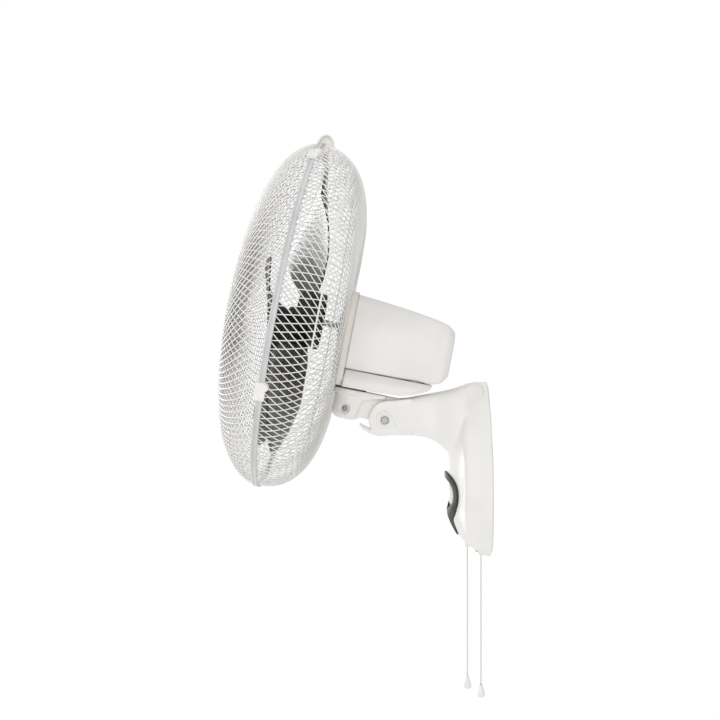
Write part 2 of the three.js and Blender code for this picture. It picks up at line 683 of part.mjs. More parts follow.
function skirtBody(inset) {
  const front = inset > 0 ? SKIRT_FRONT - 1 : SKIRT_FRONT;
  const top = inset > 0 ? SKIRT_TOP + 1 : SKIRT_TOP;
  const side = SKIRT_HALF_WIDTH - inset;
  const rear = SKIRT_REAR - inset;
  const corner = 26 - inset;
  const plan = [[-side, front], [side, front], [side - 1, rear - corner],
    ...arc(side - 1 - corner, rear - corner, corner, 10, 90, 5),
    ...arc(corner + 1 - side, rear - corner, corner, 90, 170, 5), [1 - side, rear - corner]];
  const floor = SKIRT_FLOOR.map(([y, z]) => [Math.min(y, rear), z + inset]);
  const elevation = [[front, SKIRT_BOTTOM + inset], ...floor.slice(1), [rear, top], [front, top]];
  return common(prism(plan, SKIRT_BOTTOM - 1, top, "z"), prism(elevation, -side - 1, side + 1, "x"));
}

function lowerSkirt() {
  const hole = rod(SPIGOT_RADIUS + 3 * FIT, SKIRT_BOTTOM - 1, SKIRT_BOTTOM + SKIRT_WALL + 1, "z");
  return cut(skirtBody(0), skirtBody(SKIRT_WALL), hole);
}

piece(headFrame, "lower_skirt", lowerSkirt(), housingPlastic);

function rearBearingBracket() {
  const rear = REAR_BRACKET_FRONT + 3;
  const plate = rod(STATOR_RADIUS, REAR_BRACKET_FRONT, rear, "y");
  const cup = rod(BEARING_RADIUS + 3, REAR_BRACKET_FRONT - 3, rear, "y");
  const posts = [30, 150, 270].map((degrees) => postAt(degrees, STATOR_REAR + FIT, REAR_BRACKET_FRONT + 1));
  const bore = rod(BEARING_RADIUS + FIT, REAR_BRACKET_FRONT - 4, rear + 1, "y");
  return cut(join(plate, cup, ...posts), bore);
}

piece(headFrame, "rear_bearing_bracket", rearBearingBracket(), zincSteel);
piece(headFrame, "rear_bearing", tube(BEARING_RADIUS, SHAFT_RADIUS + FIT, REAR_BRACKET_FRONT - 3,
  REAR_BRACKET_FRONT + 3, "y"), brightSteel);

// ---- neck and swivel -------------------------------------------------------------------------------
const HINGE_AT_Y = NECK_REACH;
const HINGE_AT_Z = -HEAD_HEIGHT;
const CLAMP_Y = -3;
const CLAMP_Z = -105;
const RECESS_FLOOR = NECK_RADIUS - 3.5;

function neck() {
  const body = rod(NECK_RADIUS, NECK_BOTTOM + 8, COLLAR_TOP - 4, "z");
  const foot = turned([[0, NECK_BOTTOM], [11, NECK_BOTTOM], [16.6, NECK_BOTTOM + 2.4], [NECK_RADIUS, NECK_BOTTOM + 8],
    [0, NECK_BOTTOM + 8]], "z");
  const collar = rod(COLLAR_RADIUS, COLLAR_TOP - 6.5, COLLAR_TOP, "z");
  const ledge = COLLAR_TOP - 4;
  const web = prism([[0, COLLAR_TOP - 0.1], [47, COLLAR_TOP - 0.1], [46.6, ledge], [28, ledge - 4],
    ...arc(HINGE_AT_Y, HINGE_AT_Z, 37, 150, 172, 3), [9, NECK_BOTTOM + 2], [0, NECK_BOTTOM + 2]],
  -NECK_RADIUS, NECK_RADIUS, "x");
  const tongue = prism([[0, COLLAR_TOP - 0.2], [65, COLLAR_TOP - 0.2], [67, COLLAR_TOP - 6],
    ...arc(HINGE_AT_Y, HINGE_AT_Z, TONGUE_RADIUS, 15, -110, 8), [30, -114], [0, -113]],
  -TONGUE_HALF_WIDTH, TONGUE_HALF_WIDTH, "x");
  const bore = rod(SPIGOT_RADIUS + FIT, SPIGOT_BOTTOM - FIT, COLLAR_TOP + 1, "z");
  const hinge = rod(BOLT_RADIUS + FIT, -30, 30, "x").translate(0, HINGE_AT_Y, HINGE_AT_Z);
  const recess = rod(7, RECESS_FLOOR, 30, "x").translate(0, CLAMP_Y, CLAMP_Z);
  const screwHole = rod(2 + FIT, 0, 30, "x", SMALL).translate(0, CLAMP_Y, CLAMP_Z);
  return cut(join(body, foot, collar, web, tongue), bore, hinge, recess, screwHole);
}

piece(headFrame, "neck", neck(), housingPlastic);
piece(headFrame, "swivel_spigot", tube(SPIGOT_RADIUS, SPIGOT_BORE, SPIGOT_BOTTOM, SPIGOT_TOP, "z"), brightSteel);
piece(headFrame, "swivel_washer", tube(WASHER_RADIUS, SPIGOT_RADIUS + 1.5, COLLAR_TOP + FIT,
  SKIRT_BOTTOM - FIT, "z"), brownPlastic);

function clampScrew() {
  const tip = Math.sqrt(SPIGOT_RADIUS ** 2 - CLAMP_Y ** 2) + FIT;
  const shank = rod(2, tip, RECESS_FLOOR + 1, "x", SMALL);
  const head = rod(3.4, RECESS_FLOOR + FIT, RECESS_FLOOR + FIT + 2.5, "x", SMALL);
  const slot = block([RECESS_FLOOR + 2, RECESS_FLOOR + 4], [-4, 4], [-0.5, 0.5]);
  return cut(join(shank, head), slot).translate(0, CLAMP_Y, CLAMP_Z);
}

piece(headFrame, "neck_clamp_screw", clampScrew(), zincSteel);

function anchorPlate() {
  const top = ANCHOR_FLOOR + ANCHOR_WALL;
  const ring = rod(SPIGOT_RADIUS + 5.5, ANCHOR_FLOOR, top, "z");
  const under = ANCHOR_FLOOR + ANCHOR_RELIEF;
  const lever = block([0, ANCHOR_ARM], [-ANCHOR_END, ANCHOR_END], [under, top]);
  const end = rod(ANCHOR_END, under, top, "z").translate(ANCHOR_ARM, 0, 0);
  const pin = rod(LINK_PIN_RADIUS, top - 1, LINK_FLOOR + LINK_WALL + 0.6, "z", SMALL).translate(ANCHOR_ARM, 0, 0);
  return cut(join(ring, lever, end, pin), rod(SPIGOT_RADIUS + FIT, ANCHOR_FLOOR - 1, top + 1, "z"));
}

piece(headFrame, "anchor_plate", anchorPlate(), zincSteel);

const TRAY_TOP = TRAY_FLOOR + TRAY_WALL;

function swivelBracket() {
  const front = FLANGE_FRONT + FLANGE_WALL + FIT;
  const tray = block([-TRAY_HALF_WIDTH, TRAY_HALF_WIDTH], [front, TRAY_REAR], [TRAY_FLOOR, TRAY_TOP]);
  const wall = block([-TRAY_HALF_WIDTH, TRAY_HALF_WIDTH], [front, front + 3], [TRAY_FLOOR - 18, TRAY_TOP]);
  const boss = rod(SPIGOT_RADIUS + 5, CRANK_FLOOR + 1.3, TRAY_TOP, "z");
  return cut(join(tray, wall, boss), rod(SPIGOT_RADIUS + FIT, CRANK_FLOOR, TRAY_TOP + 1, "z"));
}

piece(headFrame, "swivel_bracket", swivelBracket(), zincSteel);
piece(headFrame, "spigot_circlip", tube(SPIGOT_RADIUS + 3, SPIGOT_RADIUS + FIT, TRAY_TOP + FIT,
  TRAY_TOP + FIT + 1.2, "z"), brightSteel);
piece(headFrame, "capacitor", block([-22, 18], [56, 74], [TRAY_TOP + FIT, TRAY_TOP + 16]), greyPlastic);

// ---- swing drive -----------------------------------------------------------------------------------
const CRANK_TOP = CRANK_FLOOR + CRANK_WALL;
const crankFrame = frame(headFrame, CRANK_X, CRANK_Y, 0);

function swingMotor() {
  const body = rod(SWING_MOTOR_RADIUS, CRANK_TOP + FIT, TRAY_FLOOR - FIT, "z");
  return cut(body, rod(3 + FIT, CRANK_TOP, CRANK_TOP + 8, "z", SMALL));
}

piece(crankFrame, "swing_motor", swingMotor(), zincSteel);

function crank() {
  const disc = rod(CRANK_RADIUS + 4, CRANK_FLOOR, CRANK_TOP, "z");
  const stub = rod(3, CRANK_TOP - 1, CRANK_TOP + 7, "z", SMALL);
  const pin = rod(LINK_PIN_RADIUS, LINK_FLOOR - 0.8, CRANK_FLOOR + 1, "z", SMALL).translate(CRANK_RADIUS, 0, 0);
  return join(disc, stub, pin);
}

piece(crankFrame, "crank", crank(), blackPlastic);

// The link's front eye is a slot along X, because the crank's travel is steadier than the swing's.
function link() {
  const rearX = CRANK_X + CRANK_RADIUS;
  const eyeX = ANCHOR_ARM + EYE_TRAVEL;
  const top = LINK_FLOOR + LINK_WALL;
  const slot = (radius, from, to) => prism([...arc(eyeX + EYE_TRAVEL, 0, radius, -90, 90, 6),
    ...arc(eyeX - EYE_TRAVEL, 0, radius, 90, 270, 6)], from, to, "z");
  const bar = prism([[eyeX - 2.5, 4], [eyeX + 2.5, 4], [rearX + 2.5, CRANK_Y], [rearX - 2.5, CRANK_Y]],
    LINK_FLOOR, top, "z");
  const eye = rod(4.4, LINK_FLOOR, top, "z", SMALL).translate(rearX, CRANK_Y, 0);
  const hole = rod(LINK_PIN_RADIUS + FIT, LINK_FLOOR - 1, top + 1, "z", SMALL).translate(rearX, CRANK_Y, 0);
  return cut(join(slot(5.1, LINK_FLOOR, top), bar, eye), slot(3.5, LINK_FLOOR - 1, top + 1), hole);
}

piece(headFrame, "link", link(), blackPlastic);

// ---- wall bracket ----------------------------------------------------------------------------------
// Sections of the wall box: height, half width, depth of the side edges, depth of the nose in the middle, and the
// nose's pinch, which is larger where it is a narrow ridge.
const BOX_SECTIONS = [[-112, 34, 6, 10, 1.5], [-104, 45, 17, 24.5, 1.8], [-93, 52, 27, 36, 2.6],
  [-83.5, 54.5, 32, 41.5, 3.6], [-70.8, 56.5, 35, 48, 4.6], [-50, 57.5, 37, 51.5, 5.2], [-20, 58, 37, 53, 5],
  [8, 55.5, 37, 54.5, 3], [25, 50.5, 36, 57, 1.8], [64, 38, 33, 42, 1.5], [91, 23, 28, 34, 1.5],
  [104, 13, 23, 27, 1.5], [111, 6, 15, 18, 1.5]];
// Sections of the arm: distance from the wall, underside, top, half width.
const ARM_SIDES = 12;
const ARM_SECTIONS = [[118, 42.6, 87.6, 22], [102, 41.4, 90.4, 22], [83, 38.5, 94, 22], [67.5, 32.5, 96.8, 24.5],
  [58, 25, 98.6, 28], [45, 18, 101.5, 32], [30, 12, 106.5, 33], [22, 12, 109.5, 30], [8, 12, 107, 24]];

function boxBody(grow, back) {
  const steps = 6;
  return loft(BOX_SECTIONS.map(([height, halfWidth, edge, nose, pinch], i) => {
    const end = i === 0 ? -1 : Number(i === BOX_SECTIONS.length - 1);
    const half = halfWidth + grow;
    const front = Array.from({ length: 2 * steps + 1 }, (_, k) => {
      const share = (k - steps) / steps;
      const depth = edge + (nose - edge) * (1 - share * share) ** pinch;
      const inward = Math.abs(share) === 1 ? 3 : 0;
      return new THREE.Vector3(share * half, -(depth + grow - inward), height + end * grow);
    });
    const last = front[2 * steps];
    const rightBack = new THREE.Vector3(last.x, -back, last.z);
    return [...front, rightBack, new THREE.Vector3(-last.x, -back, last.z)];
  }));
}

function armBody(grow, first) {
  return loft(ARM_SECTIONS.slice(first).map(([away, low, high, halfWidth]) => {
    const middle = (low + high) / 2;
    return Array.from({ length: ARM_SIDES }, (_, i) => {
      const angle = (2 * Math.PI * (i + 0.5)) / ARM_SIDES;
      const x = (halfWidth + grow) * swell(Math.cos(angle), 5);
      const z = middle + ((high - low) / 2 + grow) * swell(Math.sin(angle), 5);
      return new THREE.Vector3(x, -away, z);
    });
  }));
}

// An ear's outline (y, z): its round front, its top, and the hook that reaches forward under the neck.
const EAR_OUTLINE = [[-100, 42], [-121, 42.3], [-144, 41], [-155, 44], [-164, 49], [-170.6, 57], [-165, 54],
  [-155, 48.8], [-150, 47.5], ...arc(HINGE_Y, HINGE_Z, 21, 222, 150, 5), [-149.3, 80.7], [-141, 85.5],
  [-133.2, 86.9], [-126, 87.4], [-100, 90]];

function seatTool(radius, from, to) {
  const tool = rod(radius, from, to, "y");
  tool.rotateX(DIAL_LEAN);
  return tool.translate(0, DIAL_Y, DIAL_Z);
}

function grommetHole(cord) {
  return rod(GROMMET_RADIUS + FIT, -130, -70, "z", SMALL).translate(cord.x, cord.y, 0);
}

function bracketShell() {
  const ears = [[SLOT_HALF_WIDTH, EAR_HALF_WIDTH], [-EAR_HALF_WIDTH, -SLOT_HALF_WIDTH]]
    .map(([from, to]) => prism(EAR_OUTLINE, from, to, "x"));
  const pads = [[EAR_HALF_WIDTH - 1, EAR_HALF_WIDTH + PAD_HEIGHT], [-EAR_HALF_WIDTH - PAD_HEIGHT, 1 - EAR_HALF_WIDTH]]
    .map(([from, to]) => rod(PAD_RADIUS, from, to, "x").translate(0, HINGE_Y, HINGE_Z));
  const outside = join(boxBody(0, WALL_GAP), armBody(0, 0), ...ears, ...pads);
  const inside = join(boxBody(-SHELL_WALL, WALL_GAP - 1), armBody(-3, 2));
  const slot = rod(SLOT_RADIUS, -SLOT_HALF_WIDTH, SLOT_HALF_WIDTH, "x", 32).translate(0, HINGE_Y, HINGE_Z);
  const bolt = rod(BOLT_RADIUS + FIT, -40, 40, "x").translate(0, HINGE_Y, HINGE_Z);
  const hollow = cut(outside, inside, slot, bolt);
  const seat = common(seatTool(DIAL_RADIUS + 5, -1, FIT + SEAT_WALL), boxBody(0, WALL_GAP));
  const room = seatTool(DIAL_RADIUS + 1.3, -30, FIT);
  const stem = seatTool(DIAL_STEM + FIT, -1, 10);
  const gland = rod(GLAND_RADIUS + FIT, -80, -40, "x", SMALL).translate(0, GLAND_Y, GLAND_Z);
  const screw = rod(2 + FIT, -130, -70, "z", SMALL).translate(0, SHELL_SCREW_Y, 0);
  return cut(join(hollow, seat), room, stem, grommetHole(SPEED_CORD), grommetHole(SWING_CORD), gland, screw);
}

piece(fan, "bracket_shell", bracketShell(), housingPlastic);

// The plate fills the shell's open back. It hangs on two keyholes above and is held by one below.
const KEYHOLES = [[0, 66], [0, -60]];

function keyhole(x, z) {
  return [
    rod(5, -10, 10, "y", SMALL).translate(x, 0, z),
    block([x - 2.6, x + 2.6], [-10, 10], [z, z + 11]),
  ];
}

function wallPlate() {
  const sheet = common(boxBody(-SHELL_WALL - FIT, 0), block([-100, 100], [-PLATE_WALL, 0], [-200, 200]));
  const lug = block([-6, 6], [-18, 0.1 - PLATE_WALL], [-101, -93]);
  const lugHole = rod(2 + FIT, -110, -80, "z", SMALL).translate(0, SHELL_SCREW_Y, 0);
  return cut(join(sheet, lug), lugHole, ...KEYHOLES.flatMap(([x, z]) => keyhole(x, z)));
}

piece(fan, "wall_plate", wallPlate(), zincSteel);

function shellScrew() {
  const head = rod(3.6, -115, -112.8, "z", SMALL);
  const shank = rod(2, -113, -95, "z", SMALL);
  return join(head, shank).translate(0, SHELL_SCREW_Y, 0);
}

piece(fan, "shell_screw", shellScrew(), zincSteel);

// ---- tilt hinge ------------------------------------------------------------------------------------
const hingeFrame = frame(fan, 0, HINGE_Y, HINGE_Z);
const HEX_SEAT = EAR_HALF_WIDTH + PAD_HEIGHT + FIT;

function tiltBolt() {
  const shank = rod(BOLT_RADIUS, -HEX_SEAT - HEX_HEIGHT - 2, HEX_SEAT + 1, "x");
  return join(shank, prism(hexagon(0, 0, HEX_RADIUS), HEX_SEAT, HEX_SEAT + HEX_HEIGHT, "x"));
}

function tiltNut() {
  const body = prism(hexagon(0, 0, HEX_RADIUS + 1), -HEX_SEAT - HEX_HEIGHT, -HEX_SEAT, "x");
  return cut(body, rod(BOLT_RADIUS + FIT, -50, 0, "x"));
}

piece(hingeFrame, "tilt_bolt", tiltBolt(), brightSteel);
piece(hingeFrame, "tilt_nut", tiltNut(), brightSteel);
piece(hingeFrame, "tilt_washer_right", tube(TILT_WASHER_RADIUS, BOLT_RADIUS + FIT, TONGUE_HALF_WIDTH + FIT,
  TONGUE_HALF_WIDTH + FIT + TILT_WASHER_WALL, "x"), brownPlastic);
piece(hingeFrame, "tilt_washer_left", tube(TILT_WASHER_RADIUS, BOLT_RADIUS + FIT,
  -TONGUE_HALF_WIDTH - FIT - TILT_WASHER_WALL, -TONGUE_HALF_WIDTH - FIT, "x"), brownPlastic);

// ---- controls --------------------------------------------------------------------------------------
// The bezel's outline (x, z) is a circle round the dial whose sides run down into a short round tail.
function bezelOutline() {
  const low = DIAL_Z - BEZEL_TAIL + 9;
  return [...arc(0, DIAL_Z, BEZEL_RADIUS, -35, 215, 16), ...arc(0, low, 9, 200, 340, 5)];
}

function controlBezel() {
  const skin = cut(boxBody(BEZEL_WALL + FIT, WALL_GAP), boxBody(FIT, WALL_GAP - 1));
  const panel = common(skin, prism(bezelOutline(), -100, -20, "y"));
  return cut(panel, seatTool(DIAL_RADIUS + 1.3, -30, 30));
}

piece(fan, "control_bezel", controlBezel(), greyPlastic);

const dialFrame = frame(fan, 0, DIAL_Y, DIAL_Z);
dialFrame.rotation.x = DIAL_LEAN;

const DIAL_PROFILE = [[0, -DIAL_HEIGHT], [8, -DIAL_HEIGHT + 0.5], [14, -DIAL_HEIGHT + 2], [17.6, -DIAL_HEIGHT + 4.6],
  [DIAL_RADIUS, -DIAL_HEIGHT + 7.5], [DIAL_RADIUS, 0], [DIAL_STEM, 0], [DIAL_STEM, FIT + SEAT_WALL],
  [0, FIT + SEAT_WALL]];
piece(dialFrame, "speed_dial", turned(DIAL_PROFILE, "y"), housingPlastic);

const SWITCH_FRONT = 2 * FIT + SEAT_WALL;
piece(dialFrame, "speed_switch", block([-12, 12], [SWITCH_FRONT, SWITCH_FRONT + 20], [-14, 14]), greyPlastic);
piece(fan, "swing_switch", block([6, 22], [-18, -PLATE_WALL - FIT], [-80, -62]), greyPlastic);
piece(fan, "terminal_block", block([-40, -20], [-15, -PLATE_WALL - FIT], [0, 34]), brownPlastic);
piece(fan, "cable_gland", tube(GLAND_RADIUS, 3.6, -62, -48, "x", SMALL).translate(0, GLAND_Y, GLAND_Z), blackPlastic);

// ---- pull cords ------------------------------------------------------------------------------------
// Each cord hangs straight from its switch, through its grommet, down to its knob.
function pullCord(name, place, top, grommetFrom, grommetTo) {
  const cordFrame = frame(fan, place.x, place.y, 0);
  const steps = 16;
  const line = new THREE.LineCurve3(new THREE.Vector3(0, 0, top), new THREE.Vector3(0, 0, CORD_END));
  const section = outlineOf(arc(0, 0, CORD_RADIUS, 0, 315, 7));
  const cord = new THREE.ExtrudeGeometry(section, { steps, bevelEnabled: false, extrudePath: line });
  piece(cordFrame, `${name}_cord`, cord, cordFibre);
  piece(cordFrame, `${name}_knob`, turned([
    [0, CORD_END - FIT],
    [2.2, CORD_END - FIT],
    [KNOB_RADIUS, CORD_END - FIT - 0.7 * KNOB_LENGTH],
    [KNOB_RADIUS - 1.2, CORD_END - FIT - KNOB_LENGTH],
    [0, CORD_END - FIT - KNOB_LENGTH],
  ], "z", SMALL), housingPlastic);
  piece(cordFrame, `${name}_grommet`, tube(GROMMET_RADIUS, GROMMET_BORE, grommetFrom, grommetTo, "z", SMALL),
    housingPlastic);
}

pullCord("speed", SPEED_CORD, -54, -110, -92);
pullCord("swing", SWING_CORD, -80.3, -115, -104);

export default fan;
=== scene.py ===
"""Wall mounted fan: the visible pieces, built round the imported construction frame.

Every piece is a surface worked out with numpy, in metres, in the frame's own axes: the wall is the plane
y = 0, the fan faces -Y and +Z is up. Sizes inside the functions are millimetres. For the head and the neck
they are in the head's own frame, where +Y runs to the rear along the motor axis.
"""
import json

import bmesh
import bpy
import numpy as np
from bpy.props import FloatProperty, FloatVectorProperty, IntProperty, PointerProperty
from bpy.types import Operator, Panel, PropertyGroup
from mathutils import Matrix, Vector


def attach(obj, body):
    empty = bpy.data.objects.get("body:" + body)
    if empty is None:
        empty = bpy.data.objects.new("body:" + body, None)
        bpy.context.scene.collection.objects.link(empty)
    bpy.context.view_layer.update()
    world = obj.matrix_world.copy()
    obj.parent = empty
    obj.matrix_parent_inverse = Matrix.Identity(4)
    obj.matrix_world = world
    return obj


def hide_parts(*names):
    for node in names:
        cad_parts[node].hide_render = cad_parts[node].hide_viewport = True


bl_info = {
    "name": "Wall mounted fan",
    "version": (1, 0, 0),
    "blender": (4, 5, 0),
    "location": "View3D > Sidebar > Wall fan",
    "description": "Builds the visible pieces of a wall mounted fan",
    "category": "Object",
}

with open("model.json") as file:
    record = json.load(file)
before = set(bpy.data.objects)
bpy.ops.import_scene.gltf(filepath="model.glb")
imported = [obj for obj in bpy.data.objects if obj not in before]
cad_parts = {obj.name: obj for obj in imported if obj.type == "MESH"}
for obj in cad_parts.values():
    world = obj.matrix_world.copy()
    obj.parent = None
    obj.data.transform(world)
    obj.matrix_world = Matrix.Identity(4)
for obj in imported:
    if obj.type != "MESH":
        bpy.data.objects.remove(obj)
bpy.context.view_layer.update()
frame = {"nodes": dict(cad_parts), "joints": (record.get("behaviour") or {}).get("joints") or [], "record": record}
JOINTS = {joint["name"]: joint for joint in frame["joints"]}

MM = 0.001
SWIVEL = np.array(JOINTS["rotor_spin"]["pos_m"])
REARWARDS = -np.array(JOINTS["rotor_spin"]["axis"])
UPWARDS = np.array(JOINTS["head_swing"]["axis"])
HEAD_AXES = np.array([[1.0, 0.0, 0.0], REARWARDS, UPWARDS])
HINGE = np.array(JOINTS["neck_tilt"]["pos_m"])
DIAL_CENTRE = np.array(JOINTS["dial_turn"]["pos_m"])
DIAL_AXIS = np.array(JOINTS["dial_turn"]["axis"])
FAN_PLANE = -93.5  # the rim's middle plane, in front of the swivel axis
HINGE_IN_HEAD = (51.1, -109.8)  # the tilt hinge's y and z in the head's frame
CLAMP_SCREW = (0, -3, -105)  # the neck's clamp screw in the head's frame
BOLT_HOLE = 4.1  # radius of the tilt bolt's hole


# ---- placing and meshing ------------------------------------------------------------------------------
def from_head(points):
    """Head-frame millimetres to metres in the object's frame: the swivel point plus a share of each axis."""
    return SWIVEL + MM * np.asarray(points, float) @ HEAD_AXES


def from_fan(points):
    """As from_head, with y counted from the rim's middle plane."""
    return from_head(np.asarray(points, float) + [0.0, FAN_PLANE, 0.0])


def from_wall(points):
    """Millimetres in the object's frame to metres."""
    return MM * np.asarray(points, float)


def from_dial(points):
    """Dial-frame millimetres, +Y to the rear along the dial's spindle, to metres in the object's frame."""
    side = np.array([1.0, 0.0, 0.0])
    rear = -DIAL_AXIS
    return DIAL_CENTRE + MM * np.asarray(points, float) @ np.array([side, rear, np.cross(side, rear)])


def sheet_faces(rows, columns, wrap_rows=False, wrap_columns=False, first=0):
    """Quads of a rows-by-columns grid of points, joined to its other side where it wraps."""
    i = np.arange(rows if wrap_rows else rows - 1)[:, None]
    j = np.arange(columns if wrap_columns else columns - 1)[None, :]
    k, m = (i + 1) % rows, (j + 1) % columns
    quads = np.stack([i * columns + j, i * columns + m, k * columns + m, k * columns + j], axis=-1)
    return first + quads.reshape(-1, 4)


def new_piece(name, parts, place, smooth=True, solidify=0.0):
    """Joins (points, faces) parts into one object, with its faces turned outwards."""
    points, faces, count = [], [], 0
    for part_points, part_faces in parts:
        points.append(place(np.asarray(part_points, float).reshape(-1, 3)))
        faces.extend((np.asarray(face) + count).tolist() for face in part_faces)
        count += len(points[-1])
    mesh = bpy.data.meshes.new(name)
    mesh.from_pydata(np.concatenate(points).tolist(), [], faces)
    mesh.validate()
    piece = bpy.data.objects.new(name, mesh)
    bpy.context.scene.collection.objects.link(piece)
    tidy_mesh(piece, 1e-6)
    if solidify:
        wall = piece.modifiers.new("wall", "SOLIDIFY")
        wall.thickness = solidify * MM
        wall.offset = -1.0
    mesh.polygons.foreach_set("use_smooth", np.full(len(mesh.polygons), smooth))
    return piece


def tidy_mesh(piece, distance):
    """Merges doubled points and points every face outwards."""
    work = bmesh.new()
    work.from_mesh(piece.data)
    bmesh.ops.remove_doubles(work, verts=work.verts, dist=distance)
    bmesh.ops.recalc_face_normals(work, faces=work.faces)
    work.to_mesh(piece.data)
    work.free()


def bake_modifiers(piece):
    """Replaces the piece's mesh with the one that its modifiers give."""
    bpy.context.view_layer.update()
    graph = bpy.context.evaluated_depsgraph_get()
    done = bpy.data.meshes.new_from_object(piece.evaluated_get(graph))
    piece.modifiers.clear()
    piece.data = done
    return piece


def soften_edges(piece, width, angle=30.0):
    """Rounds the piece's sharp edges, as a mould does."""
    bevel = piece.modifiers.new("edges", "BEVEL")
    bevel.width = width * MM
    bevel.segments = 3
    bevel.limit_method = "ANGLE"
    bevel.angle_limit = np.radians(angle)
    return piece


def lathe(profile, turns=128, axis="y"):
    """A profile of (radius, height) points carried round an axis: the points times cosine and sine."""
    profile = np.asarray(profile, float)
    angle = np.linspace(0.0, 2 * np.pi, turns, endpoint=False)[:, None]
    across, along = profile[None, :, 0], profile[None, :, 1] + 0 * angle
    u, v = across * np.cos(angle), across * np.sin(angle)
    order = {"x": (along, u, v), "y": (u, along, v), "z": (u, v, along)}[axis]
    return np.stack(order, axis=-1), sheet_faces(turns, len(profile), wrap_rows=True)


def closed_lathe(profile, turns=128, axis="y"):
    """A lathe whose profile closes on itself."""
    points, _ = lathe(profile, turns, axis)
    return points, sheet_faces(turns, len(profile), wrap_rows=True, wrap_columns=True)


def rounded(points, radius, steps=4):
    """A polygon's corners as quadratic curves: each corner is cut back by the radius on both sides."""
    points = np.asarray(points, float)
    result = []
    share = np.linspace(0.0, 1.0, steps + 1)[:, None]
    for before, corner, after in zip(np.roll(points, 1, 0), points, np.roll(points, -1, 0)):
        back, ahead = before - corner, after - corner
        reach_back = min(radius, 0.45 * np.linalg.norm(back))
        reach_ahead = min(radius, 0.45 * np.linalg.norm(ahead))
        start = corner + back / np.linalg.norm(back) * reach_back
        end = corner + ahead / np.linalg.norm(ahead) * reach_ahead
        result.append((1 - share) ** 2 * start + 2 * share * (1 - share) * corner + share ** 2 * end)
    return np.concatenate(result)


def prism(outline, low, high, axis="x"):
    """An outline carried straight from low to high, with both ends closed by one face each."""
    outline = np.asarray(outline, float)
    count = len(outline)
    ends = []
    for place in (low, high):
        along = np.full(count, float(place))
        order = {"x": (along, outline[:, 0], outline[:, 1]), "y": (outline[:, 0], along, outline[:, 1]),
                 "z": (outline[:, 0], outline[:, 1], along)}[axis]
        ends.append(np.stack(order, axis=-1))
    faces = list(sheet_faces(2, count, wrap_columns=True))
    return np.array(ends), faces + [np.arange(count)[::-1], np.arange(count, 2 * count)]


def tubes(paths, normals, radius, sides=5):
    """Round tubes along many paths at once: each point plus a circle in the plane across its path."""
    tangent = np.gradient(paths, axis=1)
    tangent /= np.linalg.norm(tangent, axis=-1, keepdims=True)
    across = np.cross(tangent, normals)
    across /= np.linalg.norm(across, axis=-1, keepdims=True)
    up = np.cross(across, tangent)
    angle = np.linspace(0.0, 2 * np.pi, sides, endpoint=False)
    ring = across[:, :, None] * np.cos(angle)[:, None] + up[:, :, None] * np.sin(angle)[:, None]
    points = paths[:, :, None] + radius * ring
    count, rings = paths.shape[:2]
    one = sheet_faces(rings, sides, wrap_columns=True)
    starts = np.arange(count)[:, None, None] * rings * sides
    faces = list((one[None] + starts).reshape(-1, 4))
    cap = np.arange(sides)
    for start in range(0, count * rings * sides, rings * sides):
        faces += [start + cap[::-1], start + (rings - 1) * sides + cap]
    return points, faces


def smooth_stations(table, count):
    """A table's rows interpolated by its first column with a smooth cubic through every row."""
    table = np.asarray(table, float)
    knots = table[:, 0]
    slope = np.gradient(table[:, 1:], knots, axis=0)
    wanted = np.linspace(knots[0], knots[-1], count)
    i = np.clip(np.searchsorted(knots, wanted, side="right") - 1, 0, len(knots) - 2)
    step = (knots[i + 1] - knots[i])[:, None]
    t = (wanted - knots[i])[:, None] / step
    low, high = table[i, 1:], table[i + 1, 1:]
    value = ((1 + 2 * t) * (1 - t) ** 2 * low + t * (1 - t) ** 2 * step * slope[i]
             + t ** 2 * (3 - 2 * t) * high - t ** 2 * (1 - t) * step * slope[i + 1])
    return np.column_stack([wanted, value])


# ---- materials ----------------------------------------------------------------------------------------
def linear(code):
    """A colour as linear red, green, blue and alpha, from an sRGB hex code or from a linear setting."""
    if not isinstance(code, str):
        return (*code, 1.0)
    share = np.array([int(code[i:i + 2], 16) for i in (1, 3, 5)]) / 255
    value = np.where(share <= 0.04045, share / 12.92, ((share + 0.055) / 1.055) ** 2.4)
    return (*value.tolist(), 1.0)


def add_node(tree, kind, links=(), **settings):
    """Adds a node, sets its sockets and properties by name, and links other nodes' sockets to its own."""
    node = tree.nodes.new(kind)
    for name, value in settings.items():
        socket = node.inputs.get(name.replace("_", " "))
        if socket is not None:
            socket.default_value = value
        else:
            setattr(node, name, value)
    for source, target in links:
        tree.links.new(source, node.inputs[target])
    return node


def start_material(name):
    """A new material with its node tree, its shader and the piece's own coordinates."""
    material = bpy.data.materials.new(name)
    material.use_nodes = True
    tree = material.node_tree
    place = add_node(tree, "ShaderNodeTexCoord").outputs["Object"]
    return material, tree, tree.nodes["Principled BSDF"], place


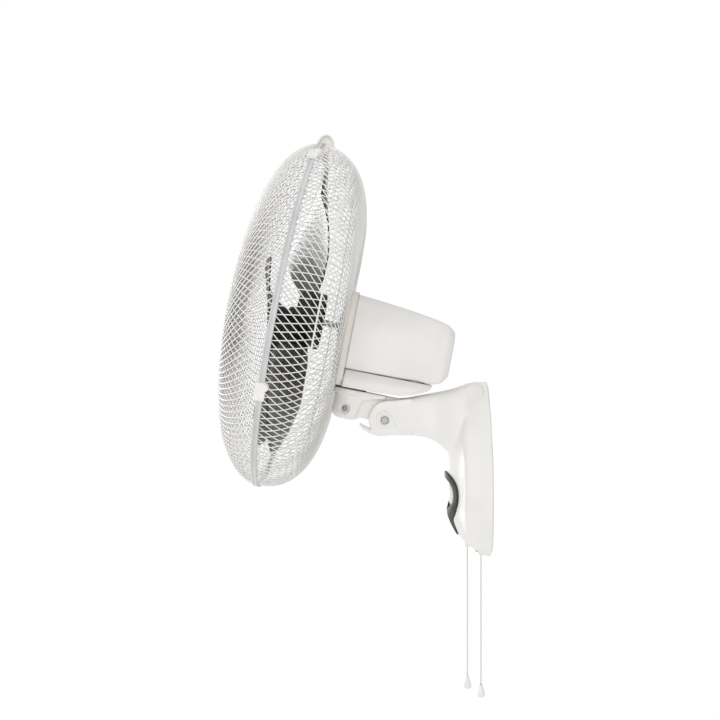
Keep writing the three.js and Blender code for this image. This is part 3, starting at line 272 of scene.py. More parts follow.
def tinted_grain(tree, shader, place, low, high, patch_mm, grain_mm, depth_mm, strength):
    """Slow colour drift between two colours, and a fine grain in the surface."""
    drift = add_node(tree, "ShaderNodeTexNoise", [(place, "Vector")], Scale=1000 / patch_mm, Detail=3.0)
    ramp = add_node(tree, "ShaderNodeValToRGB", [(drift.outputs["Fac"], "Fac")])
    ramp.color_ramp.elements[0].position = 0.35
    ramp.color_ramp.elements[1].position = 0.65
    ramp.color_ramp.elements[0].color = linear(low)
    ramp.color_ramp.elements[1].color = linear(high)
    tree.links.new(ramp.outputs["Color"], shader.inputs["Base Color"])
    grain = add_node(tree, "ShaderNodeTexNoise", [(place, "Vector")], Scale=1000 / grain_mm, Detail=2.0)
    bump = add_node(tree, "ShaderNodeBump", [(grain.outputs["Fac"], "Height")], Strength=strength,
                    Distance=depth_mm * MM)
    tree.links.new(bump.outputs["Normal"], shader.inputs["Normal"])
    return drift, grain


def moulded_abs(name, low, high, roughness, grain_mm=0.9):
    """Injection moulded ABS: an even colour with a faint drift, and a soft satin skin from the tool."""
    material, tree, shader, place = start_material(name)
    _, grain = tinted_grain(tree, shader, place, low, high, 60.0, grain_mm, 0.05, 0.25)
    shader.inputs["IOR"].default_value = 1.53
    spread = add_node(tree, "ShaderNodeMapRange", [(grain.outputs["Fac"], "Value")],
                      To_Min=roughness - 0.05, To_Max=roughness + 0.05)
    tree.links.new(spread.outputs["Result"], shader.inputs["Roughness"])
    return material


def coated_steel(name, low, high):
    """Steel under an electrostatic plastic coat: bright, thick at the joints, slightly uneven."""
    material, tree, shader, place = start_material(name)
    tinted_grain(tree, shader, place, low, high, 25.0, 1.4, 0.05, 0.2)
    shader.inputs["Roughness"].default_value = 0.3
    shader.inputs["IOR"].default_value = 1.5
    return material


def smoked_as(low, high):
    """Smoke-tinted AS resin, injection moulded and glossy: see-through head on, dense at a grazing angle."""
    material, tree, shader, place = start_material("smoked_as_resin")
    tinted_grain(tree, shader, place, low, high, 90.0, 4.0, 0.04, 0.1)
    shader.inputs["Roughness"].default_value = 0.12
    shader.inputs["IOR"].default_value = 1.57
    facing = add_node(tree, "ShaderNodeLayerWeight", Blend=0.5)
    density = add_node(tree, "ShaderNodeMapRange", [(facing.outputs["Facing"], "Value")],
                       To_Min=0.72, To_Max=0.98)
    tree.links.new(density.outputs["Result"], shader.inputs["Alpha"])
    return material


def plated_steel(name, low, high, roughness):
    """Zinc plated or ground steel: metallic, with small changes in how sharply it reflects."""
    material, tree, shader, place = start_material(name)
    drift, _ = tinted_grain(tree, shader, place, low, high, 6.0, 0.5, 0.02, 0.15)
    shader.inputs["Metallic"].default_value = 1.0
    spread = add_node(tree, "ShaderNodeMapRange", [(drift.outputs["Fac"], "Value")],
                      To_Min=roughness - 0.08, To_Max=roughness + 0.1)
    tree.links.new(spread.outputs["Result"], shader.inputs["Roughness"])
    return material


def enamelled_winding():
    """Enamelled copper wire in close turns 0.8 mm apart: bands of light across the coil."""
    material, tree, shader, place = start_material("enamelled_copper")
    tinted_grain(tree, shader, place, "#8a4526", "#b0693c", 8.0, 0.8, 0.3, 0.6)
    shader.inputs["Metallic"].default_value = 0.8
    shader.inputs["Roughness"].default_value = 0.4
    return material


def braided_cord():
    """Braided polyester cord: strands slant across it every 1.2 mm, drawn a little coarser than real ones. The
    grooves between the strands are painted darker: painted shade.
    """
    material, tree, shader, place = start_material("braided_polyester")
    turned = add_node(tree, "ShaderNodeMapping", [(place, "Vector")], Rotation=(0.7, 0.0, 0.6))
    strands = add_node(tree, "ShaderNodeTexWave", [(turned.outputs["Vector"], "Vector")],
                       Scale=1000 / 1.2 / 6.28, bands_direction="Z")
    ramp = add_node(tree, "ShaderNodeValToRGB", [(strands.outputs["Fac"], "Fac")])
    # Painted shade: the ramp follows the bump's height, so the sunk grooves between strands get the darker colour
    # and the strand tops the lighter one.
    ramp.color_ramp.elements[0].color = linear("#cfccc5")
    ramp.color_ramp.elements[1].color = linear("#efede8")
    bump = add_node(tree, "ShaderNodeBump", [(strands.outputs["Fac"], "Height")], Strength=0.5,
                    Distance=0.2 * MM)
    tree.links.new(ramp.outputs["Color"], shader.inputs["Base Color"])
    tree.links.new(bump.outputs["Normal"], shader.inputs["Normal"])
    shader.inputs["Roughness"].default_value = 0.75
    return material


def fibre_washer():
    """Vulcanised fibre: brown, matt, with a fine fleck."""
    material, tree, shader, place = start_material("vulcanised_fibre")
    tinted_grain(tree, shader, place, "#5c4c40", "#776657", 2.0, 0.6, 0.1, 0.4)
    shader.inputs["Roughness"].default_value = 0.7
    return material


FINISHES = {}


def make_finishes(colours):
    """Makes every material once, under the names that the record's slots use."""
    FINISHES.update({
        "white_plastic": moulded_abs("moulded_abs_white", colours.white, colours.white_light, 0.34),
        "cream_plastic": moulded_abs("moulded_abs_cream", colours.cream, colours.cream_light, 0.4),
        "white_coat": coated_steel("coated_steel_wire", colours.wire, colours.wire_light),
        "band_coat": coated_steel("coated_steel_strip", colours.band, colours.band_light),
        "smoke_plastic": smoked_as(colours.smoke, colours.smoke_light),
        "black_plastic": moulded_abs("moulded_abs_black", colours.hub, colours.hub_light, 0.5),
        "grey_plastic": moulded_abs("moulded_abs_grey", colours.panel, colours.panel_light, 0.45),
        "brown_plastic": fibre_washer(),
        "copper_wire": enamelled_winding(),
        "zinc_steel": plated_steel("zinc_plated_steel", "#8f9193", "#a6a8a9", 0.36),
        "bright_steel": plated_steel("ground_steel", "#85878a", "#9b9d9f", 0.26),
        "cord_fibre": braided_cord(),
    })


def finish_piece(piece, slot, body, replaces=(), finish=None):
    """Gives a piece the finish of its slot in the record, puts it on its body and hides the construction nodes it
    stands for.
    """
    piece.data.materials.clear()
    piece.data.materials.append(FINISHES[finish or slot])
    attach(piece, body)
    if replaces:
        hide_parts(*replaces)
    return piece


# ---- settings -----------------------------------------------------------------------------------------
class WALLFAN_PG_guard(PropertyGroup):
    """Sizes of the two guard halves."""
    rim_radius: FloatProperty(name="Rim radius", description="Middle of the rim wires, mm", default=224.2)
    front_depth: FloatProperty(name="Front depth", description="Front half's bulge, mm", default=73.0)
    rear_depth: FloatProperty(name="Rear depth", description="Rear half's bulge, mm", default=76.0)
    wires: IntProperty(name="Wires", description="Wires in each of the two crossing families", default=150)
    wire_radius: FloatProperty(name="Wire radius", description="Mesh wire's radius, mm", default=0.64)
    steep: FloatProperty(name="Steep swirl", description="Slant of the first family, degrees", default=41.0)
    front_shallow: FloatProperty(name="Front swirl", description="Front half's second slant, degrees",
                                 default=20.0)
    rear_shallow: FloatProperty(name="Rear swirl", description="Rear half's second slant, degrees",
                                default=9.0)


class WALLFAN_PG_impeller(PropertyGroup):
    """Sizes of the blades and the hub."""
    radius: FloatProperty(name="Blade radius", description="Shaft to blade tip, mm", default=200.0)
    hub_radius: FloatProperty(name="Hub radius", description="Hub's outer radius, mm", default=37.0)
    spread: FloatProperty(name="Spread", description="Angle that a blade covers, degrees", default=88.0)
    first: FloatProperty(name="First blade", description="Middle of the first blade, degrees", default=-26.0)
    wall: FloatProperty(name="Blade wall", description="Blade thickness, mm", default=2.0)


def drift_end(name, code, end="Darker"):
    """A colour setting for one end of a finish's slow drift, its default given as an sRGB hex colour."""
    return FloatVectorProperty(name=name, description=f"{end} end of the colour's slow drift", size=3,
                               subtype="COLOR", min=0.0, max=1.0, default=linear(code)[:3])


class WALLFAN_PG_colours(PropertyGroup):
    """Colours of the mouldings and of the coated steel."""
    white: drift_end("White plastic", "#f4f2ee")
    white_light: drift_end("White plastic, light", "#faf8f5", "Lighter")
    cream: drift_end("Cream plastic", "#f6f1e9")
    cream_light: drift_end("Cream plastic, light", "#fbf6ef", "Lighter")
    wire: drift_end("Guard wire", "#f6f5f2")
    wire_light: drift_end("Guard wire, light", "#fcfbf9", "Lighter")
    band: drift_end("Rim band", "#cfd1d1")
    band_light: drift_end("Rim band, light", "#d9dbdb", "Lighter")
    smoke: drift_end("Blades", "#1f1e1b")
    smoke_light: drift_end("Blades, light", "#272622", "Lighter")
    hub: drift_end("Hub", "#040505")
    hub_light: drift_end("Hub, light", "#0a0b0b", "Lighter")
    panel: drift_end("Control panel", "#2d2f2c")
    panel_light: drift_end("Control panel, light", "#333531", "Lighter")


class WALLFAN_PG_stage(PropertyGroup):
    """Camera and studio."""
    distance: FloatProperty(name="Camera distance", description="Camera to the fan's middle plane, m",
                            subtype="DISTANCE", default=1.07)
    lens: FloatProperty(name="Lens", description="Focal length on a 36 mm sensor", default=40.4)
    paper: FloatVectorProperty(name="Backdrop", description="Linear colour of floor and backdrop", size=3,
                               subtype="COLOR", default=(0.96, 0.96, 0.96))


def mesh_material_pass(nodes, slot_of):
    """Puts the finishes on the construction nodes that stay visible."""
    for name, node in nodes.items():
        node.data.materials.clear()
        node.data.materials.append(FINISHES[slot_of[name]])


# ---- pull cords ---------------------------------------------------------------------------------------
# Each cord hangs straight from top to end, in metres. Its grommet's heights are in millimetres.
CORDS = {
    "speed": {"top": (-0.014, -0.024, -0.054), "end": (-0.014, -0.024, -0.284), "grommet": (-110.0, -92.0)},
    "swing": {"top": (0.014, -0.010, -0.0803), "end": (0.014, -0.010, -0.284), "grommet": (-115.0, -104.0)},
}
CORD_DIAMETER = 0.0018


class WALLFAN_OT_cords(Operator):
    """Two braided pull cords with their knobs and grommets"""
    bl_idname = "wallfan.cords"
    bl_label = "Pull cords"

    def execute(self, context):
        for name, route in CORDS.items():
            top, end = np.array(route["top"]), np.array(route["end"])
            share = np.linspace(0.0, 1.0, 24)[:, None]
            path = top * (1 - share) + end * share
            normals = np.tile([1.0, 0.0, 0.0], (1, len(path), 1))
            strand = tubes(path[None], normals, CORD_DIAMETER / 2, 12)
            cord = new_piece(f"{name}_pull_cord", [strand], np.asarray)
            finish_piece(cord, "cord_fibre", f"{name}_pull", [f"{name}_cord"])
            knob = self.knob(name, end)
            finish_piece(knob, "white_plastic", f"{name}_pull", [f"{name}_knob"])
            finish_piece(self.grommet(name, route), "white_plastic", "wall_bracket", [f"{name}_grommet"])
        return {"FINISHED"}

    @staticmethod
    def knob(name, end):
        """A bell: a narrow neck that swells to a rounded lip, turned round the cord's line."""
        share = np.linspace(0.0, 1.0, 24)
        height = -0.3 - 15.7 * share
        radius = 2.2 + 2.8 * np.sin(np.pi / 2 * np.clip(share / 0.75, 0, 1)) ** 1.6
        radius = np.where(share > 0.9, 5.0 - 1.2 * ((share - 0.9) / 0.1) ** 2, radius)
        profile = np.column_stack([np.concatenate([[0.0], radius, [0.0]]),
                                   np.concatenate([[height[0]], height, [height[-1] - 0.2]])])
        return new_piece(f"{name}_pull_knob", [lathe(profile, 48, "z")], lambda points: end + MM * points)

    @staticmethod
    def grommet(name, route):
        """A short bush round the cord with a rolled lower lip."""
        low, high = route["grommet"]
        profile = [(1.4, low + 0.6), (1.9, low), (2.7, low), (3.2, low + 0.6), (3.2, high), (1.4, high)]
        place = np.array([route["top"][0], route["top"][1], 0.0])
        return new_piece(f"{name}_bush", [closed_lathe(profile, 40, "z")], lambda points: place + MM * points)


# ---- guards -------------------------------------------------------------------------------------------
RIM_WIRE = 1.1  # radius of the rim wires
RIM_OFFSET = 1.35  # each rim wire's distance from the rim's middle plane
CENTRE_RING = 45.0  # radius of the front half's centre ring
SHOULDER_RING = 205.0  # radius of the rear half's support ring
REAR_DISH, DISH_INNER, DISH_OUTER = 7.6, 88.0, 130.0


def mesh_start(settings):
    """The radius where the mesh wires begin, just inside the rim wire."""
    return settings.rim_radius - RIM_WIRE + 0.2


def bulge(radius, settings, rear):
    """Depth of a guard half: depth * (1 - (r / R) ** power) ** shape, with the rear half's centre sunk."""
    start = mesh_start(settings)
    share = np.minimum(1.0, np.asarray(radius, float) / start)
    depth, power, shape = (settings.rear_depth, 4, 0.45) if rear else (settings.front_depth, 3, 0.54)
    t = np.clip((radius - DISH_INNER) / (DISH_OUTER - DISH_INNER), 0.0, 1.0)
    sunk = REAR_DISH * (1 - t * t * (3 - 2 * t)) if rear else 0.0
    value = depth * (1 - share ** power) ** shape + RIM_OFFSET * share - sunk
    return value if rear else -value


def mesh_family(settings, rear, inner, slant, layer, steps=26):
    """Wires whose angle turns steadily with the distance walked in from the rim along the bulge."""
    fine = np.linspace(0.0, np.pi / 2, 800)
    start = mesh_start(settings)
    radius = inner + (start - inner) * np.cos(fine)
    depth = bulge(radius, settings, rear)
    run = np.concatenate([[0.0], np.cumsum(np.hypot(np.diff(radius), np.diff(depth)))])
    wanted = np.linspace(0.0, 1.0, steps) ** 1.25 * run[-1]
    radius, depth = np.interp(wanted, run, radius), np.interp(wanted, run, depth)
    turn = slant * wanted / settings.rim_radius
    angle = np.linspace(0.0, 2 * np.pi, settings.wires, endpoint=False)[:, None] + turn
    outwards = np.stack([np.cos(angle), 0 * angle, np.sin(angle)], axis=-1)
    slope_r, slope_a = np.gradient(radius, wanted), np.gradient(depth, wanted)
    normal = outwards * slope_a[None, :, None] - np.array([0.0, 1.0, 0.0]) * slope_r[None, :, None]
    normal *= np.sign(np.sum(normal * [0.0, 1.0 if rear else -1.0, 0.0], axis=-1, keepdims=True) + 1e-9)
    paths = outwards * radius[None, :, None] + np.array([0.0, 1.0, 0.0]) * depth[None, :, None]
    return tubes(paths + layer * normal, normal, settings.wire_radius, 5)


def ring(radius, middle, wire, turns=256):
    """A round ring of wire: a small circle carried round a large one."""
    angle = np.linspace(0.0, 2 * np.pi, 10, endpoint=False)
    circle = np.column_stack([radius + wire * np.cos(angle), middle + wire * np.sin(angle)])
    return closed_lathe(circle, turns)


class WALLFAN_OT_guards(Operator):
    """Front and rear guard halves, each two crossing families of swirling wires on its rings"""
    bl_idname = "wallfan.guards"
    bl_label = "Guards"

    def execute(self, context):
        settings = context.scene.wallfan_guard
        steep = np.tan(np.radians(settings.steep))
        layer = settings.wire_radius * 0.9
        for rear, name, inner in ((False, "front_guard", CENTRE_RING), (True, "rear_guard", 50.0)):
            side = 1 if rear else -1
            shallow = np.tan(np.radians(settings.rear_shallow if rear else settings.front_shallow))
            parts = [
                mesh_family(settings, rear, inner, -steep, layer),
                mesh_family(settings, rear, inner, shallow, -layer),
                ring(settings.rim_radius, side * RIM_OFFSET, RIM_WIRE),
            ]
            parts += self.rear_rings(settings) if rear else self.front_rings(settings)
            piece = new_piece(f"{name}_mesh", parts, from_fan)
            finish_piece(piece, "white_coat", "head", [name])
        return {"FINISHED"}

    @staticmethod
    def front_rings(settings):
        """The flat centre ring that the badge sits in."""
        face = float(bulge(CENTRE_RING, settings, False))
        section = [(43, face - 1.2), (47, face - 1.2), (47, face + 1.2), (43, face + 1.2)]
        return [closed_lathe(rounded(section, 0.5), 160)]

    @staticmethod
    def rear_rings(settings):
        """The shoulder ring, and the pressed centre disc with a rolled edge and a stiffening step."""
        shoulder = float(bulge(SHOULDER_RING, settings, True))
        front = 69.6
        disc = [(14.0, front), (30.0, front), (32.0, front + 0.5), (49.0, front + 0.5), (51.0, front - 0.6),
                (52.0, front), (51.6, front + 1.2), (49.0, front + 1.6), (30.0, front + 1.6),
                (14.0, front + 1.6)]
        return [ring(SHOULDER_RING, shoulder, RIM_WIRE), closed_lathe(disc, 160)]


class WALLFAN_OT_rim(Operator):
    """Rim band with its groove, four clips, the top handle and the bare badge"""
    bl_idname = "wallfan.rim"
    bl_label = "Rim band, clips, handle and badge"

    def execute(self, context):
        band = self.band()
        finish_piece(band, "white_coat", "head", ["rim_band"], "band_coat")
        for number, degrees in enumerate((-24.0, 54.0, 126.0, 204.0), start=1):
            clip = self.clip(f"rim_clip_{number}", np.radians(degrees))
            finish_piece(clip, "white_plastic", f"clip_{number}", [f"guard_clip_{number}"])
        finish_piece(self.handle(), "white_plastic", "head", ["top_handle"])
        finish_piece(self.badge(context.scene.wallfan_guard), "white_plastic", "head", ["guard_badge"])
        return {"FINISHED"}

    @staticmethod
    def band():
        """A channel section carried round the rim: two folded lips and a shallow rolled groove outside."""
        inner, outer, half, lip = 225.6, 226.4, 3.5, 224.7
        profile = [(lip, -half), (outer - 0.4, -half), (outer, -half + 0.5), (outer, -1.9),
                   (outer - 0.6, -1.6), (outer - 0.6, -0.8), (outer, -0.5), (outer, half - 0.5),
                   (outer - 0.4, half), (lip, half),
                   (lip, half - 0.8), (inner, half - 0.8), (inner, 0.8 - half), (lip, 0.8 - half)]
        return new_piece("rolled_rim_band", [closed_lathe(profile, 360)], from_fan)

    @staticmethod
    def clip(name, angle):
        """A saddle over the band, bent to the rim's curve, with two cheeks and a round press stud."""
        front, rear, under, over, low, cheek = -6.2, 5.4, 226.7, 229.7, 225.3, 3.8
        section = rounded([(low, front), (over, front), (over, rear), (low, rear), (low, cheek),
                           (under, cheek), (under, -cheek), (low, -cheek)], 0.8)
        turn = angle + np.linspace(-10.5, 10.5, 9) / 228.0
        radius, along = section[None, :, 0], section[None, :, 1] + 0 * turn[:, None]
        saddle = np.stack([radius * np.cos(turn[:, None]), along, radius * np.sin(turn[:, None])], axis=-1)
        count = len(section)
        faces = list(sheet_faces(len(turn), count, wrap_columns=True))
        faces += [np.arange(count)[::-1], np.arange(count) + (len(turn) - 1) * count]
        stud = [(0.0, 226.0), (4.4, 226.0), (4.4, 231.2), (3.6, 232.1), (1.6, 232.2), (1.3, 231.7),
                (0.0, 231.7)]
        points, stud_faces = lathe(stud, 32, "x")
        points = points.reshape(-1, 3) + [0.0, 4.0, 6.2]
        turned = np.column_stack([points[:, 0] * np.cos(angle) - points[:, 2] * np.sin(angle), points[:, 1],
                                  points[:, 0] * np.sin(angle) + points[:, 2] * np.cos(angle)])
        return new_piece(name, [(saddle, faces), (turned, stud_faces)], from_fan, smooth=False)

    @staticmethod
    def handle():
        """A half ellipse bar on a thin foot, its arch closed by a web: each is an outline carried across."""
        base = 226.7
        angle = np.linspace(0.0, np.pi, 33)
        outer = np.column_stack([12.5 * np.cos(angle), base + 17.0 * np.sin(angle)])
        inner = np.column_stack([9.5 * np.cos(angle), base + 1.5 + 14.0 * np.sin(angle)])
        loop = np.concatenate([outer, inner[::-1]])
        arch = prism(loop, -8.0, 8.0, "x")
        foot = prism([(-12.5, base), (12.5, base), (12.5, base + 1.5), (-12.5, base + 1.5)], -8.0, 8.0, "x")
        pane = np.vstack([outer * [0.92, 1.0] + [0.0, -1.0], [(-11.4, base + 0.5), (11.4, base + 0.5)]])
        web = prism(pane, -1.2, 1.2)
        piece = new_piece("top_tab_handle", [arch, foot, web], from_fan, smooth=False)
        return soften_edges(piece, 0.7, 50.0)

    @staticmethod
    def badge(settings):
        """A bare domed disc with a stepped rim, its rear step inside the guard's centre ring."""
        seat = float(bulge(CENTRE_RING, settings, False)) - 1.2 - 0.3
        profile = [(0.0, seat + 3.0), (42.7, seat + 3.0), (42.7, seat), (47.0, seat), (47.0, seat - 0.8),
                   (46.2, seat - 1.8), (44.0, seat - 2.0), (42.5, seat - 1.6), (41.0, seat - 2.0),
                   (30.0, seat - 2.5), (15.0, seat - 2.9), (0.0, seat - 3.0)]
        return new_piece("plain_badge", [lathe(profile, 128)], from_fan)


# ---- impeller -----------------------------------------------------------------------------------------
def edge_curve(hub, middle, tip, share):
    """A parabola through three places along the blade: at the hub, half way out and at the tip."""
    bend = 2 * (hub + tip - 2 * middle)
    return hub + (tip - hub - bend) * share + bend * share * share


class WALLFAN_OT_impeller(Operator):
    """Three broad twisted blades on a black hub, with the spinner nut in front"""
    bl_idname = "wallfan.impeller"
    bl_label = "Impeller"

    def execute(self, context):
        settings = context.scene.wallfan_impeller
        blades = [self.blade(settings, np.radians(settings.first + 120.0 * i)) for i in range(3)]
        finish_piece(new_piece("smoked_blades", blades, from_fan), "smoke_plastic", "rotor", ["impeller"])
        finish_piece(self.hub(settings), "black_plastic", "rotor", ["impeller"])
        finish_piece(self.spinner(), "black_plastic", "rotor", ["spinner"])
        return {"FINISHED"}

    @staticmethod
    def blade(settings, middle):
        """Radius and angle on a grid; the height runs from the rear leading edge to the front one."""
        share, chord = np.meshgrid(np.linspace(0.0, 1.0, 48), np.linspace(0.0, 1.0, 40), indexing="ij")
        corner = 1 - 0.07 * np.abs(2 * chord - 1) ** 4
        root = settings.hub_radius - 1.5
        radius = root + (settings.radius * corner - root) * share
        spread = np.radians(settings.spread) * (0.72 + 0.28 * np.minimum(1.0, 2 * share))
        angle = middle + spread * (chord - 0.5)
        leading = edge_curve(26.0, 35.0, 16.0, share)
        trailing = edge_curve(4.0, -28.0, -20.0, share)
        along = leading * (1 - chord) + trailing * chord + 5.0 * np.sin(np.pi * chord) * share
        edge = np.minimum.reduce([1 - share + 0.0 * chord, chord, 1 - chord])
        half = settings.wall / 2 * np.clip(0.35 + edge / 0.03, 0.0, 1.0)
        x, z = radius * np.cos(angle), radius * np.sin(angle)
        front = np.stack([x, along - half, z], axis=-1)
        back = np.stack([x, along + half, z], axis=-1)
        rows, columns = share.shape
        count = rows * columns
        faces = list(sheet_faces(rows, columns)) + list(sheet_faces(rows, columns)[:, ::-1] + count)
        border = np.concatenate([np.arange(columns), np.arange(1, rows) * columns + columns - 1,
                                 (rows - 1) * columns + np.arange(columns - 1)[::-1],
                                 np.arange(1, rows - 1)[::-1] * columns])
        ahead = np.roll(border, -1)
        faces += list(np.stack([ahead, border, border + count, ahead + count], axis=-1))
        return np.concatenate([front.reshape(-1, 3), back.reshape(-1, 3)]), faces

    @staticmethod
    def hub(settings):
        """A cup open to the rear, with a raised ring and six ribs between its boss and its wall."""
        outer = settings.hub_radius
        cup = [(4.3, 5.0), (15.5, 5.0), (16.0, 5.6), (28.0, 5.2), (outer - 3.5, 5.6), (outer - 1.2, 6.6),
               (outer, 9.0), (outer, 24.0), (outer + 0.25, 24.6), (outer, 25.2), (outer, 39.6),
               (outer - 0.4, 40.0), (outer - 2.6, 40.0), (outer - 3.0, 39.6), (outer - 3.0, 11.0),
               (10.0, 8.0), (10.0, 40.0), (4.3, 40.0)]
        ribs = []
        for turn in np.radians(np.arange(30, 390, 60)):
            side = [(9.5, 9.0), (outer - 2.5, 9.0), (outer - 2.5, 34.0), (9.5, 38.0)]
            rib, faces = prism(side, -0.8, 0.8, "z")
            rib = rib.reshape(-1, 3)
            ribs.append((np.column_stack([rib[:, 0] * np.cos(turn) - rib[:, 2] * np.sin(turn), rib[:, 1],
                                          rib[:, 0] * np.sin(turn) + rib[:, 2] * np.cos(turn)]), faces))
        piece = new_piece("black_hub", [closed_lathe(cup, 128), *ribs], from_fan)
        return soften_edges(piece, 0.3, 40.0)

    @staticmethod
    def spinner():
        """A blunt cone nut with twelve shallow finger flutes round its skirt."""
        share = np.linspace(0.0, 1.0, 20)
        height = np.concatenate([[-7.8], -7.8 + 12.4 * share, [4.7, -2.3]])
        radius = np.concatenate([[0.0], 15.0 * np.minimum(1.0, (0.35 + share * 1.5)) ** 0.5, [4.3, 4.3]])
        points, faces = closed_lathe(np.column_stack([radius, height]), 144)
        angle = np.arctan2(points[..., 2], points[..., 0])
        outside = np.hypot(points[..., 0], points[..., 2]) > 12.5
        depth = 0.5 * np.clip(np.cos(12 * angle), 0, 1) ** 2 * outside
        points[..., 0] -= depth * np.cos(angle)
        points[..., 2] -= depth * np.sin(angle)
        return new_piece("spinner_nut", [(points, faces)], from_fan)


# ---- motor housing ------------------------------------------------------------------------------------
HOUSING_MIDDLE, HOUSING_STEP, SKIRT_BOTTOM = -4.5, -54.2, -76.6


def housing_ring(along, half_width, top, bottom, square, inset, count=120):
    """A closed section: half a superellipse above and a squarer one below, from powers of cos and sin."""
    angle = np.linspace(0.0, 2 * np.pi, count, endpoint=False)
    c, s = np.cos(angle), np.sin(angle)
    below = s < -1e-9
    power = np.where(below, square, 2.2)
    height = np.where(below, HOUSING_MIDDLE - bottom, top - HOUSING_MIDDLE)
    x = (half_width - inset) * np.sign(c) * np.abs(c) ** (2 / power)
    z = HOUSING_MIDDLE + (height - inset) * np.sign(s) * np.abs(s) ** (2 / power)
    return np.column_stack([x, np.full(count, along), z])


COVER_SECTIONS = [[0, 1, 1], [0.33, 0.99, 1], [0.66, 0.97, 1], [0.86, 0.93, 0.97], [0.95, 0.86, 0.88],
                  [1, 0.7, 0.72]]
SKIRT_FLOOR = [(-12, 0), (24, 0), (64, 2.3), (80, 6.1), (98, 14), (104, 19)]


class WALLFAN_OT_housing(Operator):
    """Motor flange, rear cover and lower skirt as thin moulded shells, and the guard's fluted nut"""
    bl_idname = "wallfan.housing"
    bl_label = "Motor housing"

    def execute(self, context):
        finish_piece(self.flange(), "cream_plastic", "head", ["motor_flange"])
        finish_piece(self.cover(), "white_plastic", "head", ["rear_cover"])
        finish_piece(self.skirt(), "white_plastic", "head", ["lower_skirt"])
        finish_piece(self.nut(), "white_plastic", "head", ["guard_nut"])
        return {"FINISHED"}

    @staticmethod
    def flange():
        """Rings from the boss out across the front face, round its edge, and back to the seam."""
        front, seam = -22.0, -12.3
        count = 120
        angle = np.linspace(0.0, 2 * np.pi, count, endpoint=False)

        def circle(radius, along):
            return np.column_stack([radius * np.cos(angle), np.full(count, along), radius * np.sin(angle)])

        rings = [circle(10.5, front - 9.6), circle(13.3, front - 9.6), circle(13.7, front - 9.2),
                 circle(13.7, front - 0.3), circle(14.2, front)]
        edge = ((5.5, 0.0), (2.5, 0.0), (1.2, 0.35), (0.35, 1.2), (0.0, 2.6), (0.0, seam - front))
        for inset, back in edge:
            rings.append(housing_ring(front + back, 52.0, 48.2, SKIRT_BOTTOM, 4.5, inset))
        grid = np.array(rings)
        faces = sheet_faces(len(rings), count, wrap_columns=True)
        return new_piece("flange_ring", [(grid, faces)], from_head, solidify=2.4)

    @staticmethod
    def cover():
        """Stations from the seam to the rear, tapering, with a rounded closed end and an open belly."""
        count, length, seam = 120, 132.0, -12.0
        stations = smooth_stations(COVER_SECTIONS, 60)
        share = stations[:, 0]
        taper = share * share * 0.35 + share * 0.65
        half_width = (52.0 - 8.0 * taper) * stations[:, 1]
        top = (45.2 - 15.2 * taper) * stations[:, 1]
        bottom = HOUSING_MIDDLE + (HOUSING_STEP - HOUSING_MIDDLE) * stations[:, 2]
        rings = [housing_ring(seam + length * s, w, t, b, 9, 0.0)
                 for s, w, t, b in zip(share, half_width, top, bottom)]
        last = rings[-1]
        middle = last.mean(axis=0)
        rings += [middle + (last - middle) * shrink for shrink in (0.9, 0.6, 0.3, 0.02)]
        grid = np.array(rings)
        faces = sheet_faces(len(rings), count, wrap_columns=True)
        centre = grid.reshape(-1, 3)[faces].mean(axis=1)
        belly = (np.abs(centre[:, 0]) < 38) & (centre[:, 2] < HOUSING_STEP + 1.5) & (centre[:, 1] < 92)
        cap = (len(rings) - 1) * count + np.arange(count)
        return new_piece("rear_motor_cover", [(grid, list(faces[~belly]) + [cap])], from_head, solidify=2.0)

    @staticmethod
    def skirt():
        """The plan's outline swept down its wall, round its lower edge and in over the floor to the hole."""
        count = 160
        side, front, rear, corner = 44.0, -12.0, 104.0, 26.0
        plan = [(-side, front), (side, front), (side - 1, rear - corner)]
        arc = np.radians(np.linspace(10, 90, 7))
        centre_x, centre_y = side - 1 - corner, rear - corner
        right = np.column_stack([centre_x + corner * np.cos(arc), centre_y + corner * np.sin(arc)])
        left = right[::-1] * [-1.0, 1.0]
        outline = np.concatenate([np.array(plan), right, left, [(1 - side, rear - corner)]])
        strides = np.linalg.norm(np.diff(outline, axis=0, append=outline[:1]), axis=1)
        walked = np.concatenate([[0.0], np.cumsum(strides)])
        closed = np.vstack([outline, outline[:1]])
        wanted = np.linspace(0.0, walked[-1], count, endpoint=False)
        ring_xy = np.column_stack([np.interp(wanted, walked, closed[:, k]) for k in (0, 1)])
        floor_y, floor_z = np.array(SKIRT_FLOOR, float).T
        middle = np.array([0.0, 40.0])
        unit = (ring_xy - middle) / np.linalg.norm(ring_xy - middle, axis=1, keepdims=True)
        unit[ring_xy[:, 1] < front + 0.01, 1] = 0.0  # the front edge stays in its plane

        def level(xy, lift):
            # The floor rises to the rear, and never above the wall's top.
            height = SKIRT_BOTTOM + np.interp(xy[:, 1], floor_y, floor_z) + lift
            return np.column_stack([xy, np.minimum(height, HOUSING_STEP)])

        rings = [np.column_stack([ring_xy, np.full(count, HOUSING_STEP + 0.1)])]
        fillet = np.radians(np.linspace(0, 90, 6))
        rings += [level(ring_xy - unit * 4 * (1 - np.cos(a)), 4 * (1 - np.sin(a))) for a in fillet]
        base = ring_xy - unit * 4
        hole_turn = np.arctan2(base[:, 1], base[:, 0])
        hole = 10.4 * np.column_stack([np.cos(hole_turn), np.sin(hole_turn)])
        rings += [level(base * (1 - t) + hole * t, 0.0) for t in np.linspace(0.0, 1.0, 17)[1:]]
        grid = np.array(rings).reshape(-1, 3)
        faces = sheet_faces(len(rings), count, wrap_columns=True)
        # The flange closes the front, so the tray is open there and the link has room to swing.
        faces = faces[(grid[faces][:, :, 1] > front + 0.01).any(axis=1)]
        used, faces = np.unique(faces, return_inverse=True)
        return new_piece("skirt_tray", [(grid[used], faces.reshape(-1, 4))], from_head, solidify=2.0)

